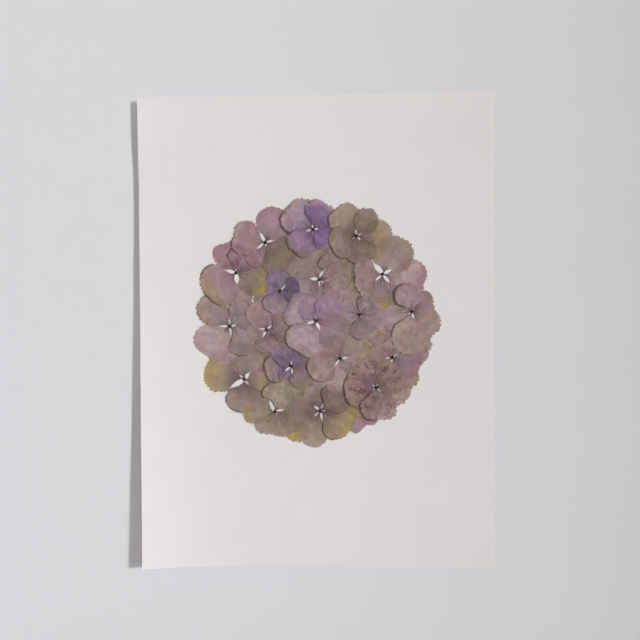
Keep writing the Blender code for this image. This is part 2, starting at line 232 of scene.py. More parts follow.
# From the lowest floret of the stack to the topmost. Headings turn anticlockwise from +X, seen
# from the front, and the first sepal of each floret lies lowest.
FLORETS = (
    Floret("tucked_floret_left", -40.5, 19, (
        Sepal(20, 11, 11.5, Tone.TAUPE, Tone.TAUPE, Tone.TAUPE),
        Sepal(140, 15, 15, Tone.RUST, Tone.PINK_TAUPE, Tone.PINK_TAUPE),
        Sepal(192, 17.5, 12, Tone.BLUSH, Tone.BLUSH, Tone.BLUSH),
        Sepal(290, 11.5, 11.5, Tone.TAUPE, Tone.PINK_TAUPE, Tone.PINK_TAUPE),
    ), (Slit(100, 3, 1.5),)),
    Floret("tucked_floret_yellow_green", 49.5, 16.5, (
        Sepal(178, 13, 13, Tone.GOLD, Tone.YELLOW, Tone.OLIVE, Edge.TOOTHED),
        Sepal(90, 10.5, 11.5, Tone.GREEN, Tone.YELLOW, Tone.OLIVE, Edge.TOOTHED),
        Sepal(0, 8, 10.5, Tone.GREEN, Tone.OLIVE, Tone.OLIVE),
        Sepal(270, 6, 9, Tone.GREEN, Tone.OLIVE, Tone.OLIVE),
    )),
    Floret("tucked_floret_olive_top", 22.5, 31, (
        Sepal(96, 24, 21, Tone.OLIVE, Tone.OLIVE, Tone.OLIVE),
        Sepal(270, 16.5, 17, Tone.SAGE, Tone.TAN, Tone.SAGE),
        Sepal(0, 9, 10.5, Tone.SAGE, Tone.TAN, Tone.OLIVE),
        Sepal(126, 29, 17, Tone.TAN, Tone.TAUPE, Tone.PLUM),
        Sepal(192, 8, 9.5, Tone.SAGE, Tone.SAGE, Tone.SAGE),
    )),
    Floret("tucked_floret_olive_lower", -5, -38, (
        Sepal(110, 12, 12.5, Tone.OCHRE, Tone.OLIVE, Tone.TAUPE),
        Sepal(20, 13.5, 13, Tone.TAUPE, Tone.BLUSH, Tone.BLUSH),
        Sepal(196, 16, 19, Tone.GREEN, Tone.GREEN, Tone.OLIVE),
        Sepal(290, 9, 10, Tone.OLIVE, Tone.TAUPE, Tone.TAUPE),
    )),
    Floret("tucked_floret_olive_bottom", -11.5, -55.5, (
        Sepal(262, 15.8, 17, Tone.OLIVE, Tone.GOLD, Tone.GOLD),
        Sepal(0, 8.5, 10, Tone.OLIVE, Tone.GOLD, Tone.GOLD),
        Sepal(180, 10.5, 10.5, Tone.OLIVE, Tone.GOLD, Tone.GOLD),
        Sepal(90, 6, 9, Tone.OLIVE, Tone.OLIVE, Tone.OLIVE),
    )),
    Floret("tucked_floret_magenta", 34, -47.5, (
        Sepal(238, 20.4, 9.5, Tone.MAUVE, Tone.MAGENTA, Tone.TAUPE),
        Sepal(272, 12.5, 11.5, Tone.MAUVE, Tone.MAGENTA, Tone.ROSE),
        Sepal(90, 6.5, 7.5, Tone.MAUVE, Tone.MAUVE, Tone.MAUVE),
        Sepal(0, 7.5, 7.5, Tone.MAUVE, Tone.MAUVE, Tone.MAUVE),
    )),
    Floret("tucked_floret_gold", 32, -45.5, (
        Sepal(186, 14.5, 13.5, Tone.OCHRE, Tone.GOLD, Tone.YELLOW),
        Sepal(235, 12, 11.5, Tone.OLIVE, Tone.GOLD, Tone.MAUVE),
        Sepal(90, 9, 10.5, Tone.OCHRE, Tone.OCHRE, Tone.OCHRE),
        Sepal(0, 9, 10.5, Tone.OCHRE, Tone.OCHRE, Tone.OCHRE),
    )),
    Floret("tucked_floret_right_rim", 59.5, -8, (
        Sepal(12, 15.4, 15, Tone.PINK_TAUPE, Tone.PINK_TAUPE, Tone.BLUSH, Edge.TOOTHED,
              tip=Tip.BLUNT),
        Sepal(318, 14.7, 13, Tone.PINK_TAUPE, Tone.PINK_TAUPE, Tone.RUST, Edge.TOOTHED),
        Sepal(100, 9, 9, Tone.PINK_TAUPE, Tone.PINK_TAUPE, Tone.PINK_TAUPE),
        Sepal(200, 8, 9, Tone.PINK_TAUPE, Tone.PINK_TAUPE, Tone.PINK_TAUPE),
    )),
    Floret("floret_golden_lower_left", -47, -30, (
        Sepal(161, 26.8, 28, Tone.DEEP_PLUM, Tone.OCHRE, Tone.GOLD, Edge.TOOTHED),
        Sepal(338, 21, 26.5, Tone.RUST, Tone.OCHRE, Tone.TAN),
        Sepal(78, 24, 36, Tone.TAUPE, Tone.TAUPE, Tone.UMBER),
        Sepal(271, 22, 26, Tone.DEEP_PLUM, Tone.TAUPE, Tone.TAUPE, lift=0.5),
    ), (Slit(48, 5.5, 2.5), Slit(135, 4, 1.5), Slit(212, 11.5, 3.2), Slit(308, 4.5, 1.2))),
    Floret("floret_pale_left", -56, 4.5, (
        Sepal(138, 26, 18.5, Tone.GREY_TAUPE, Tone.TAUPE, Tone.TAN, Edge.TOOTHED, lift=0.5),
        Sepal(232, 25.4, 31, Tone.BLUSH, Tone.PALE_ROSE, Tone.BLUSH, tip=Tip.BLUNT),
        Sepal(318, 22.5, 23, Tone.PINK_TAUPE, Tone.GREY_TAUPE, Tone.SAGE, lift=0.6),
        Sepal(38, 18.5, 20.5, Tone.GREY_TAUPE, Tone.GREY_TAUPE, Tone.BLUSH, lift=0.5),
    ), (Slit(92, 6, 1.5), Slit(180, 7, 1.5), Slit(8, 4.5, 1.5), Slit(280, 7, 1.5))),
    Floret("floret_rose_upper_left", -51.5, 39, (
        Sepal(114, 21.2, 19.5, Tone.PLUM, Tone.ROSE, Tone.ROSE, Edge.TOOTHED, tip=Tip.BLUNT),
        Sepal(216, 24.2, 30, Tone.MAUVE, Tone.PINK_TAUPE, Tone.OCHRE, Edge.TOOTHED, lift=0.8),
        Sepal(343, 23, 23.5, Tone.TAUPE, Tone.OLIVE, Tone.YELLOW),
        Sepal(62, 18, 21, Tone.PLUM, Tone.MAUVE, Tone.PLUM, lift=0.6),
    ), (Slit(165, 7.5, 2.3), Slit(98, 3, 1), Slit(275, 8.5, 3))),
    Floret("floret_taupe_upper_middle", 2.5, 34.5, (
        Sepal(126, 24, 32, Tone.TAUPE, Tone.TAUPE, Tone.OLIVE),
        Sepal(205, 20, 21.5, Tone.RUST, Tone.GREY_TAUPE, Tone.TAUPE),
        Sepal(280, 16, 17, Tone.RUST, Tone.GREY_TAUPE, Tone.MAUVE),
        Sepal(332, 20, 18, Tone.PINK_TAUPE, Tone.BLUSH, Tone.BLUSH, Edge.TOOTHED, lift=0.5,
              veins=Veins.BOLD),
        Sepal(56, 18, 15, Tone.BLUSH, Tone.PINK_TAUPE, Tone.PINK_TAUPE, lift=0.8, veins=Veins.BOLD),
    ), (Slit(70, 6, 2), Slit(175, 6, 2.2), Slit(315, 4, 1.2), Slit(268, 4.5, 1.2))),
    Floret("floret_pink_top_left", -32.5, 58.5, (
        Sepal(62, 24.3, 25, Tone.GREY_TAUPE, Tone.MAUVE, Tone.ROSE),
        Sepal(241, 18, 16.5, Tone.RUST, Tone.MAUVE, Tone.RUST, lift=0.5),
        Sepal(321, 22, 28.5, Tone.UMBER, Tone.OLIVE, Tone.OLIVE, lift=0.3, veins=Veins.BOLD),
        Sepal(169, 21.8, 23, Tone.PINK_TAUPE, Tone.ROSE, Tone.BLUSH, Edge.TOOTHED, lift=0.8,
              tip=Tip.BLUNT),
    ), (Slit(117, 8, 2), Slit(12, 6, 1.5), Slit(217, 7, 1.5), Slit(285, 3, 1.2))),
    Floret("tucked_floret_right", 42.5, 2, (
        Sepal(300, 9.5, 9, Tone.BLUSH, Tone.BLUSH, Tone.BLUSH),
        Sepal(258, 18.5, 21, Tone.TAN, Tone.TAN, Tone.OCHRE),
        Sepal(203, 13, 12.5, Tone.TAN, Tone.TAN, Tone.TAUPE),
        Sepal(15, 9, 10, Tone.PINK_TAUPE, Tone.PALE_ROSE, Tone.MAUVE),
    ), (Slit(150, 2.5, 1.2),)),
    Floret("floret_violet_top", -1.5, 66.5, (
        Sepal(138, 22.3, 24, Tone.BLUE_VIOLET, Tone.LILAC, Tone.BLUSH, Edge.TOOTHED, lift=1.7,
              tip=Tip.BLUNT),
        Sepal(230, 19.5, 19.5, Tone.VIOLET, Tone.ORCHID, Tone.OLIVE, Edge.TOOTHED, lift=1.1,
              tip=Tip.BLUNT),
        Sepal(60, 18.7, 22, Tone.VIOLET, Tone.VIOLET, Tone.LILAC, Edge.TOOTHED, lift=0.8,
              tip=Tip.BLUNT),
        Sepal(325, 15.5, 17, Tone.VIOLET, Tone.VIOLET, Tone.ORCHID, lift=0.5),
    ), (Slit(95, 3.5, 1.5), Slit(190, 4.5, 1.7), Slit(8, 4, 1.5), Slit(275, 3.5, 1))),
    Floret("floret_green_lower_left", -27, -51, (
        Sepal(353, 22, 23.5, Tone.OLIVE, Tone.GREEN, Tone.OCHRE),
        Sepal(262, 16, 26, Tone.SAGE, Tone.SAGE, Tone.TAN, Edge.TOOTHED, lift=0.3, veins=Veins.BOLD,
              tip=Tip.BLUNT),
        Sepal(186, 21.4, 14.5, Tone.GREEN, Tone.SAGE, Tone.YELLOW, Edge.TOOTHED),
        Sepal(80, 19.5, 21.5, Tone.OLIVE, Tone.SAGE, Tone.GREEN, lift=0.8, veins=Veins.PALE),
    ), (Slit(118, 9.5, 2.3), Slit(15, 6, 1.5))),
    Floret("tucked_floret_middle", 14.5, 17.5, (
        Sepal(120, 11.5, 13, Tone.PALE_ROSE, Tone.PALE_LILAC, Tone.PALE_LILAC),
        Sepal(30, 13, 13, Tone.PALE_LILAC, Tone.PALE_ROSE, Tone.TAN),
        Sepal(312, 20.5, 20, Tone.GREY_TAUPE, Tone.PALE_ROSE, Tone.TAUPE),
        Sepal(210, 9, 10.5, Tone.MAUVE, Tone.MAUVE, Tone.MAUVE),
    ), (Slit(60, 3, 1),)),
    Floret("floret_purple_lower_right", 49, -16, (
        Sepal(307, 23.2, 18, Tone.MAUVE, Tone.PINK_TAUPE, Tone.OCHRE, Edge.TOOTHED),
        Sepal(84, 13, 13.5, Tone.MAUVE, Tone.BLUSH, Tone.TAN, lift=0.5),
        Sepal(168, 16, 16, Tone.MAUVE, Tone.BLUSH, Tone.OCHRE, lift=0.5),
        Sepal(340, 18.8, 21, Tone.GREY_TAUPE, Tone.MAUVE, Tone.ROSE, Edge.TOOTHED, lift=0.5),
        Sepal(222, 13, 13, Tone.PLUM, Tone.MAUVE, Tone.PINK_TAUPE),
    ), (Slit(188, 4.5, 1.2), Slit(258, 6, 1.5))),
    Floret("floret_taupe_upper_right", 43, 37.5, (
        Sepal(341, 28.2, 30, Tone.PINK_TAUPE, Tone.PALE_ROSE, Tone.ROSE, Edge.TOOTHED,
              tip=Tip.BLUNT),
        Sepal(267, 21.5, 22.5, Tone.PINK_TAUPE, Tone.GREY_TAUPE, Tone.GOLD, lift=0.3,
              veins=Veins.BOLD),
        Sepal(186, 18.5, 29.5, Tone.RUST, Tone.PINK_TAUPE, Tone.BLUSH, Edge.TOOTHED, lift=0.8),
        Sepal(60, 26.4, 25.5, Tone.BLUSH, Tone.TAUPE, Tone.SAGE, Edge.TOOTHED),
    ), (Slit(128, 10, 3.2), Slit(25, 6.5, 2.2), Slit(222, 6, 1.5), Slit(308, 7, 1.8))),
    Floret("floret_tan_top_right", 26.5, 62, (
        Sepal(126, 22.4, 21, Tone.UMBER, Tone.SAGE, Tone.TAN, lift=1.1, tip=Tip.BLUNT),
        Sepal(350, 23.5, 25.5, Tone.UMBER, Tone.OCHRE, Tone.TAN, Edge.TOOTHED),
        Sepal(288, 18.5, 21, Tone.UMBER, Tone.OLIVE, Tone.TAUPE, Edge.TOOTHED, lift=0.8),
        Sepal(203, 18.5, 21.5, Tone.UMBER, Tone.TAUPE, Tone.OCHRE, lift=0.9),
        Sepal(58, 20, 15.5, Tone.OLIVE, Tone.OLIVE, Tone.TAUPE, Edge.TOOTHED, lift=0.5),
    ), (Slit(97, 4.5, 1.5), Slit(30, 4, 1), Slit(220, 3.5, 1), Slit(315, 3.5, 1.2))),
    Floret("floret_blue_violet", -16, -21.5, (
        Sepal(187, 18.5, 19, Tone.BLUE_VIOLET, Tone.GREY_TAUPE, Tone.TAN, Edge.TOOTHED, lift=1.2),
        Sepal(20, 15.5, 23.5, Tone.BLUE_VIOLET, Tone.DEEP_PLUM, Tone.TAUPE),
        Sepal(243, 12, 11.5, Tone.BLUE_VIOLET, Tone.BLUE_VIOLET, Tone.GOLD, lift=0.5),
        Sepal(120, 17.5, 17.5, Tone.BLUE_VIOLET, Tone.BLUE_VIOLET, Tone.ORCHID, lift=0.8,
              veins=Veins.BOLD),
        Sepal(301, 15, 13, Tone.DEEP_PLUM, Tone.GREY_TAUPE, Tone.OCHRE, lift=0.6),
    ), (Slit(92, 3, 1), Slit(215, 5, 1.2), Slit(275, 5, 1.2))),
    Floret("floret_pink_inner_left", -32, 2, (
        Sepal(108, 20.5, 21, Tone.MAUVE, Tone.BLUSH, Tone.BLUSH, lift=0.5),
        Sepal(200, 13, 14, Tone.ROSE, Tone.BLUSH, Tone.TAN),
        Sepal(284, 15.5, 20, Tone.DEEP_PLUM, Tone.RUST, Tone.GREY_TAUPE, lift=0.5),
        Sepal(12, 15.5, 20, Tone.DEEP_PLUM, Tone.RUST, Tone.OCHRE, lift=0.6),
    ), (Slit(165, 5, 1.2), Slit(42, 5, 1.5), Slit(240, 5.5, 1.5), Slit(318, 3, 1))),
    Floret("floret_indigo", -23, 27, (
        Sepal(162, 10.5, 10, Tone.VIOLET, Tone.BLUE_VIOLET, Tone.GOLD),
        Sepal(254, 15.5, 19, Tone.BLUE_VIOLET, Tone.GREY_TAUPE, Tone.LILAC, lift=0.8),
        Sepal(98, 15, 15.5, Tone.BLUE_VIOLET, Tone.BLUE_VIOLET, Tone.BLUE_VIOLET, lift=0.3),
        Sepal(4, 13, 18, Tone.INDIGO, Tone.INDIGO, Tone.INDIGO, Edge.SMOOTH, lift=0.5),
    ), (Slit(48, 5.5, 0.8), Slit(140, 2, 0.8), Slit(200, 2, 0.8), Slit(320, 2, 0.8))),
    Floret("floret_pink_right", 61.5, 13.5, (
        Sepal(196, 21.5, 14.5, Tone.BLUSH, Tone.PALE_ROSE, Tone.MAUVE),
        Sepal(12, 15.8, 23, Tone.DEEP_PLUM, Tone.ROSE, Tone.RUST, Edge.TOOTHED, tip=Tip.BLUNT),
        Sepal(316, 21, 20.5, Tone.BLUSH, Tone.TAN, Tone.PINK_TAUPE, Edge.TOOTHED),
        Sepal(266, 28.5, 25.5, Tone.PINK_TAUPE, Tone.TAN, Tone.BLUSH, lift=0.6, veins=Veins.PALE),
        Sepal(104, 18.5, 17, Tone.PALE_ROSE, Tone.PALE_ROSE, Tone.BLUSH, lift=1.6,
              veins=Veins.BOLD),
    ), (Slit(222, 3, 1), Slit(285, 5, 1.5))),
    Floret("floret_dark_bottom", 2.5, -50.5, (
        Sepal(187, 19.5, 18.5, Tone.DEEP_PLUM, Tone.TAUPE, Tone.TAUPE),
        Sepal(252, 24.5, 19, Tone.UMBER, Tone.SAGE, Tone.BLUSH),
        Sepal(328, 23.4, 25, Tone.UMBER, Tone.OCHRE, Tone.GOLD, lift=0.8, veins=Veins.BOLD),
        Sepal(107, 16.5, 15, Tone.DEEP_PLUM, Tone.TAUPE, Tone.BLUSH),
        Sepal(39, 21.5, 20.5, Tone.UMBER, Tone.UMBER, Tone.OLIVE, lift=0.9),
    ), (Slit(143, 5, 1.5), Slit(68, 5.5, 1.2), Slit(3, 4, 1.2), Slit(222, 5, 0.8),
        Slit(282, 7, 2))),
    Floret("floret_tan_below_middle", 15.5, -16.5, (
        Sepal(36, 21.5, 22.5, Tone.PINK_TAUPE, Tone.SAGE, Tone.OCHRE),
        Sepal(128, 16.5, 19, Tone.RUST, Tone.RUST, Tone.LILAC),
        Sepal(280, 24, 24, Tone.PALE_ROSE, Tone.BLUSH, Tone.RUST),
        Sepal(330, 16, 15, Tone.PALE_ROSE, Tone.PINK_TAUPE, Tone.TAN),
        Sepal(205, 23, 20.5, Tone.PINK_TAUPE, Tone.PINK_TAUPE, Tone.TAN, lift=0.8),
    ), (Slit(140, 3, 1.2), Slit(3, 5, 1.8), Slit(236, 6, 1.2), Slit(60, 2, 0.8))),
    Floret("floret_grey_inner_right", 28, 11.5, (
        Sepal(165, 13.5, 15, Tone.PINK_TAUPE, Tone.PALE_LILAC, Tone.PALE_ROSE),
        Sepal(350, 17.5, 19, Tone.GREY_TAUPE, Tone.GREY_TAUPE, Tone.PALE_ROSE),
        Sepal(57, 14, 12.5, Tone.BLUSH, Tone.GREY_TAUPE, Tone.BLUSH, Edge.TOOTHED, lift=0.8,
              veins=Veins.BOLD),
        Sepal(277, 16.5, 14, Tone.GREY_TAUPE, Tone.GREY_TAUPE, Tone.BLUSH, Edge.TOOTHED, lift=0.8),
    ), (Slit(168, 4, 1.2), Slit(60, 2.5, 0.8), Slit(310, 2.5, 0.8))),
    Floret("floret_lilac_middle", 0, 7.5, (
        Sepal(149, 21.8, 25, Tone.LILAC, Tone.PALE_LILAC, Tone.GREY_TAUPE, lift=0.5, tip=Tip.BLUNT),
        Sepal(112, 16.5, 16, Tone.LILAC, Tone.LILAC, Tone.LILAC, lift=0.5),
        Sepal(240, 23.9, 27.5, Tone.PALE_LILAC, Tone.PALE_LILAC, Tone.BLUSH, lift=0.9,
              tip=Tip.BLUNT),
        Sepal(43, 19.5, 20, Tone.ORCHID, Tone.LILAC, Tone.LILAC, lift=0.5),
        Sepal(330, 23, 24.5, Tone.MAUVE, Tone.GREY_TAUPE, Tone.PINK_TAUPE),
    ), (Slit(95, 4.5, 1.2), Slit(193, 7, 1.8), Slit(48, 3, 1), Slit(293, 6, 2))),
    Floret("floret_speckled", 38.5, -35.5, (
        Sepal(188, 20.7, 24, Tone.PLUM, Tone.PINK_TAUPE, Tone.TAN, Edge.TOOTHED, lift=1.4,
              speckle=1.0),
        Sepal(112, 21, 27, Tone.PLUM, Tone.PINK_TAUPE, Tone.TAN, lift=0.3, speckle=1.0),
        Sepal(353, 22.8, 18.5, Tone.PINK_TAUPE, Tone.TAN, Tone.TAN, Edge.TOOTHED, lift=0.5,
              speckle=0.8),
        Sepal(40, 19.4, 23, Tone.RUST, Tone.PINK_TAUPE, Tone.TAN, lift=0.5, speckle=1.0),
        Sepal(277, 21.6, 23.5, Tone.RUST, Tone.PINK_TAUPE, Tone.BLUSH, Edge.TOOTHED, lift=1.1,
              speckle=0.9, tip=Tip.BLUNT),
    ), (Slit(60, 3, 1), Slit(145, 3, 1), Slit(220, 3, 1.2), Slit(322, 5.5, 1.2))),
)


@dataclass(frozen=True)
class Stain:
    """A colour laid over another where a mask says: its sRGB hex value and its most share.

    A share below zero shows where the mask is below zero.
    """

    colour: str
    share: float


@dataclass(frozen=True)
class PetalFinish:
    """Dried, pressed petal: thin, dry and matte, with a fan of veins that darkens to the claw.

    The colour of each point is on the mesh, and so are its place on the sepal in mm and how
    strongly veins, specks and the dark margin show there. The dark margin is partly the browning
    of the dried edge and partly painted shadow along lifted margins. Each order of veins has how
    much finer it is than the first, how many mm from the claw it begins, and how strong it is.
    Sizes are in mm. The grain stands for the petal's cells, which are finer than 0.1 mm, and is
    drawn at 0.5 mm so that it shows.
    """

    name: str = "pressed_dried_petal"
    roughness: float = 0.62
    specular: float = 0.28
    vein_turns: float = 7.0
    vein_orders: tuple[Triple, ...] = ((1.0, 0.5, 1.0), (2.3, 5.0, 0.4))
    vein_stretch: float = 0.11
    vein_width: float = 0.55
    widest_vein: float = 0.13
    vein_rise: float = 3.0
    streak_turns: float = 22.0
    streak_stretch: float = 0.3
    streak_amount: float = 0.06
    mottle_size: float = 3.4
    mottle_amount: float = 0.1
    noise_limits: Limits = (0.3, 0.7)
    speck_size: float = 0.8
    speck_patch: float = 5.0
    speck_patchiness: float = 1.22
    speck_limits: Limits = (-0.2, -0.02)
    grain_size: float = 0.5
    vein_relief: float = 0.7
    relief: float = 0.06
    relief_strength: float = 0.2
    vein: Stain = Stain("4A3A44", 0.8)
    pale_vein: Stain = Stain("C9BDAE", -0.5)
    speck: Stain = Stain("633B33", 0.85)
    # Dark margin stain: partly the browning of the dried edge, partly painted shadow along lifted
    # margins that face down and left.
    browned_edge_and_shadow: Stain = Stain("42282A", 0.88)

    def material(self) -> Material:
        """Build the petal material.

        Returns:
            A material that reads the petal attributes of the mesh.
        """
        material, tree, shader = new_material(
            self.name, {"Roughness": self.roughness, "Specular IOR Level": self.specular})
        tone, place, marks = (add_node(tree, "ShaderNodeAttribute", {"attribute_name": name})
                              for name in PETAL_LAYERS)
        mark = add_node(tree, "ShaderNodeSeparateXYZ", inputs={0: marks.outputs["Vector"]})
        here = add_node(tree, "ShaderNodeTexCoord").outputs["Object"]
        place = place.outputs["Vector"]
        blotches = add_node(tree, "ShaderNodeTexNoise",
                            inputs={"Vector": here, "Scale": 1 / (self.mottle_size * MM),
                                    "Detail": 5.0, "Roughness": 0.65})
        streaks, _ = self.fan(tree, place, self.streak_turns, self.streak_stretch)
        colour = self.varied(tree, tone.outputs["Color"], blotches.outputs[0], self.mottle_amount)
        colour = self.varied(tree, colour, streaks, self.streak_amount)
        vein = self.vein_mask(tree, place)
        strength = add_node(tree, "ShaderNodeMath", {"operation": "MULTIPLY"},
                            {0: vein, 1: mark.outputs[0]}).outputs[0]
        specks = self.speck_mask(tree, here, mark.outputs[1])
        # The third mark is the dark margin: browned edge together with painted shadow of lifted
        # margins.
        for mask, stain in ((strength, self.vein), (strength, self.pale_vein),
                            (specks, self.speck), (mark.outputs[2], self.browned_edge_and_shadow)):
            colour = self.over(tree, colour, mask, stain)
        tree.links.new(colour, shader.inputs["Base Color"])
        grain = add_node(tree, "ShaderNodeTexNoise",
                         inputs={"Vector": here, "Scale": 1 / (self.grain_size * MM),
                                 "Detail": 3.0})
        height = add_node(tree, "ShaderNodeMath", {"operation": "MULTIPLY_ADD"},
                          {0: vein, 1: self.vein_relief, 2: grain.outputs[0]})
        bump = add_node(tree, "ShaderNodeBump",
                        inputs={"Strength": self.relief_strength, "Distance": self.relief * MM,
                                "Height": height.outputs[0]})
        tree.links.new(bump.outputs[0], shader.inputs["Normal"])
        return material

    @staticmethod
    def over(tree: Tree, below: Socket, mask: Socket, stain: Stain) -> Socket:
        """Lay a stain over a colour where a mask says.

        Args:
            tree: The material's tree.
            below: The colour beneath.
            mask: How much of the stain shows.
            stain: The stain.

        Returns:
            The mixed colour.
        """
        share = add_node(tree, "ShaderNodeMath", {"operation": "MULTIPLY", "use_clamp": True},
                         {0: mask, 1: stain.share})
        mix = add_node(tree, "ShaderNodeMix", {"data_type": "RGBA"},
                       {0: share.outputs[0], 6: below, 7: rgba(stain.colour)})
        return mix.outputs[2]

    def varied(self, tree: Tree, colour: Socket, noise: Socket, amount: float) -> Socket:
        """Make a colour lighter and darker with a noise.

        Args:
            tree: The material's tree.
            colour: The colour to vary.
            noise: A noise about 0.5.
            amount: The most that it goes up or down, as a share.

        Returns:
            The varied colour.
        """
        low, high = self.noise_limits
        level = add_node(tree, "ShaderNodeMapRange",
                         inputs={0: noise, 1: low, 2: high, 3: 1 - amount, 4: 1 + amount})
        mix = add_node(tree, "ShaderNodeMix", {"data_type": "RGBA", "blend_type": "MULTIPLY"},
                       {0: 1.0, 6: colour, 7: level.outputs[0]})
        return mix.outputs[2]

    @staticmethod
    def fan(tree: Tree, place: Socket, turns: float, stretch: float) -> tuple[Socket, Socket]:
        """A noise drawn out along the way from the claw to the margin, as veins and fibres run.

        Args:
            tree: The material's tree.
            place: The place on the sepal in mm, x from the claw to the tip.
            turns: How finely it changes across the fan.
            stretch: How quickly it changes along the fan, per mm.

        Returns:
            The noise and the distance from the claw in mm.
        """
        flat = add_node(tree, "ShaderNodeSeparateXYZ", inputs={0: place})
        angle = add_node(tree, "ShaderNodeMath", {"operation": "ARCTAN2"},
                         {0: flat.outputs[1], 1: flat.outputs[0]})
        planar = add_node(tree, "ShaderNodeVectorMath", {"operation": "MULTIPLY"},
                          {0: place, 1: (1.0, 1.0, 0.0)})
        span = add_node(tree, "ShaderNodeVectorMath", {"operation": "LENGTH"},
                        {0: planar.outputs[0]}).outputs["Value"]
        across = add_node(tree, "ShaderNodeMath", {"operation": "MULTIPLY"},
                          {0: angle.outputs[0], 1: turns})
        along = add_node(tree, "ShaderNodeMath", {"operation": "MULTIPLY"}, {0: span, 1: stretch})
        polar = add_node(tree, "ShaderNodeCombineXYZ",
                         inputs={0: across.outputs[0], 1: along.outputs[0], 2: flat.outputs[2]})
        noise = add_node(tree, "ShaderNodeTexNoise",
                         inputs={"Vector": polar.outputs[0], "Scale": 1.0, "Detail": 2.0,
                                 "Roughness": 0.5})
        return noise.outputs[0], span

    def vein_mask(self, tree: Tree, place: Socket) -> Socket:
        """Veins that fork and run together on their way from the claw to the margin.

        Args:
            tree: The material's tree.
            place: The place on the sepal in mm, x from the claw to the tip.

        Returns:
            A mask from 0 between veins to 1 on a vein.
        """
        masks = []
        for finer, begins, share in self.vein_orders:
            turns = finer * self.vein_turns
            noise, span = self.fan(tree, place, turns, self.vein_stretch)
            off = add_node(tree, "ShaderNodeMath", {"operation": "SUBTRACT"}, {0: noise, 1: 0.5})
            far = add_node(tree, "ShaderNodeMath", {"operation": "ABSOLUTE"}, {0: off.outputs[0]})
            slim = add_node(tree, "ShaderNodeMath", {"operation": "DIVIDE"},
                            {0: self.vein_width * turns / self.vein_turns, 1: span})
            wide = add_node(tree, "ShaderNodeMath", {"operation": "MINIMUM"},
                            {0: slim.outputs[0], 1: self.widest_vein})
            line = add_node(tree, "ShaderNodeMapRange", {"interpolation_type": "SMOOTHSTEP"},
                            {0: far.outputs[0], 1: 0.0, 2: wide.outputs[0], 3: share, 4: 0.0})
            start = add_node(tree, "ShaderNodeMapRange", {"interpolation_type": "SMOOTHSTEP"},
                             {0: span, 1: begins, 2: begins + self.vein_rise, 3: 0.0, 4: 1.0})
            masks.append(add_node(tree, "ShaderNodeMath", {"operation": "MULTIPLY"},
                                  {0: line.outputs[0], 1: start.outputs[0]}).outputs[0])
        return add_node(tree, "ShaderNodeMath", {"operation": "MAXIMUM"},
                        {0: masks[0], 1: masks[1]}).outputs[0]

    def speck_mask(self, tree: Tree, here: Socket, amount: Socket) -> Socket:
        """Small dark specks, thicker in some patches than in others.

        Args:
            tree: The material's tree.
            here: Object coordinates.
            amount: How speckled the petal is, 0 to 1.

        Returns:
            A mask from 0 to 1.
        """
        fine = add_node(tree, "ShaderNodeTexVoronoi",
                        inputs={"Vector": here, "Scale": 1 / (self.speck_size * MM),
                                "Randomness": 1.0})
        patch = add_node(tree, "ShaderNodeTexNoise",
                         inputs={"Vector": here, "Scale": 1 / (self.speck_patch * MM),
                                 "Detail": 2.0})
        both = add_node(tree, "ShaderNodeMath", {"operation": "MULTIPLY_ADD"},
                        {0: patch.outputs[0], 1: -self.speck_patchiness,
                         2: fine.outputs["Distance"]})
        full, none = self.speck_limits
        speck = add_node(tree, "ShaderNodeMapRange", {"interpolation_type": "SMOOTHSTEP"},
                         {0: both.outputs[0], 1: full, 2: none, 3: 1.0, 4: 0.0})
        return add_node(tree, "ShaderNodeMath", {"operation": "MULTIPLY"},
                        {0: speck.outputs[0], 1: amount}).outputs[0]


@dataclass(frozen=True)
class BudFinish:
    """Dried flower bud: hard, wrinkled and nearly black-purple, with a faint waxy gleam and painted
    shade in its wrinkles.
    """

    name: str = "dried_flower_bud"
    colour: str = "402A2E"
    wrinkle_shade_colour: str = "24171A"
    roughness: float = 0.75
    wrinkle_size: float = 0.5
    wrinkle_depth: float = 0.1
    relief_strength: float = 0.6

    def material(self) -> Material:
        """Build the bud material.

        Returns:
            A material on Object coordinates.
        """
        material, tree, shader = new_material(self.name, {"Roughness": self.roughness})
        here = add_node(tree, "ShaderNodeTexCoord").outputs["Object"]
        wrinkle = add_node(tree, "ShaderNodeTexNoise",
                           inputs={"Vector": here, "Scale": 1 / (self.wrinkle_size * MM),
                                   "Detail": 3.0})
        # Darker where the wrinkle noise is low, in the bump's hollows: painted shade in the
        # wrinkles.
        mix = add_node(tree, "ShaderNodeMix", {"data_type": "RGBA"},
                       {0: wrinkle.outputs[0], 6: rgba(self.wrinkle_shade_colour), 7: rgba(self.colour)})
        bump = add_node(tree, "ShaderNodeBump",
                        inputs={"Strength": self.relief_strength,
                                "Distance": self.wrinkle_depth * MM,
                                "Height": wrinkle.outputs[0]})
        tree.links.new(mix.outputs[2], shader.inputs["Base Color"])
        tree.links.new(bump.outputs[0], shader.inputs["Normal"])
        return material


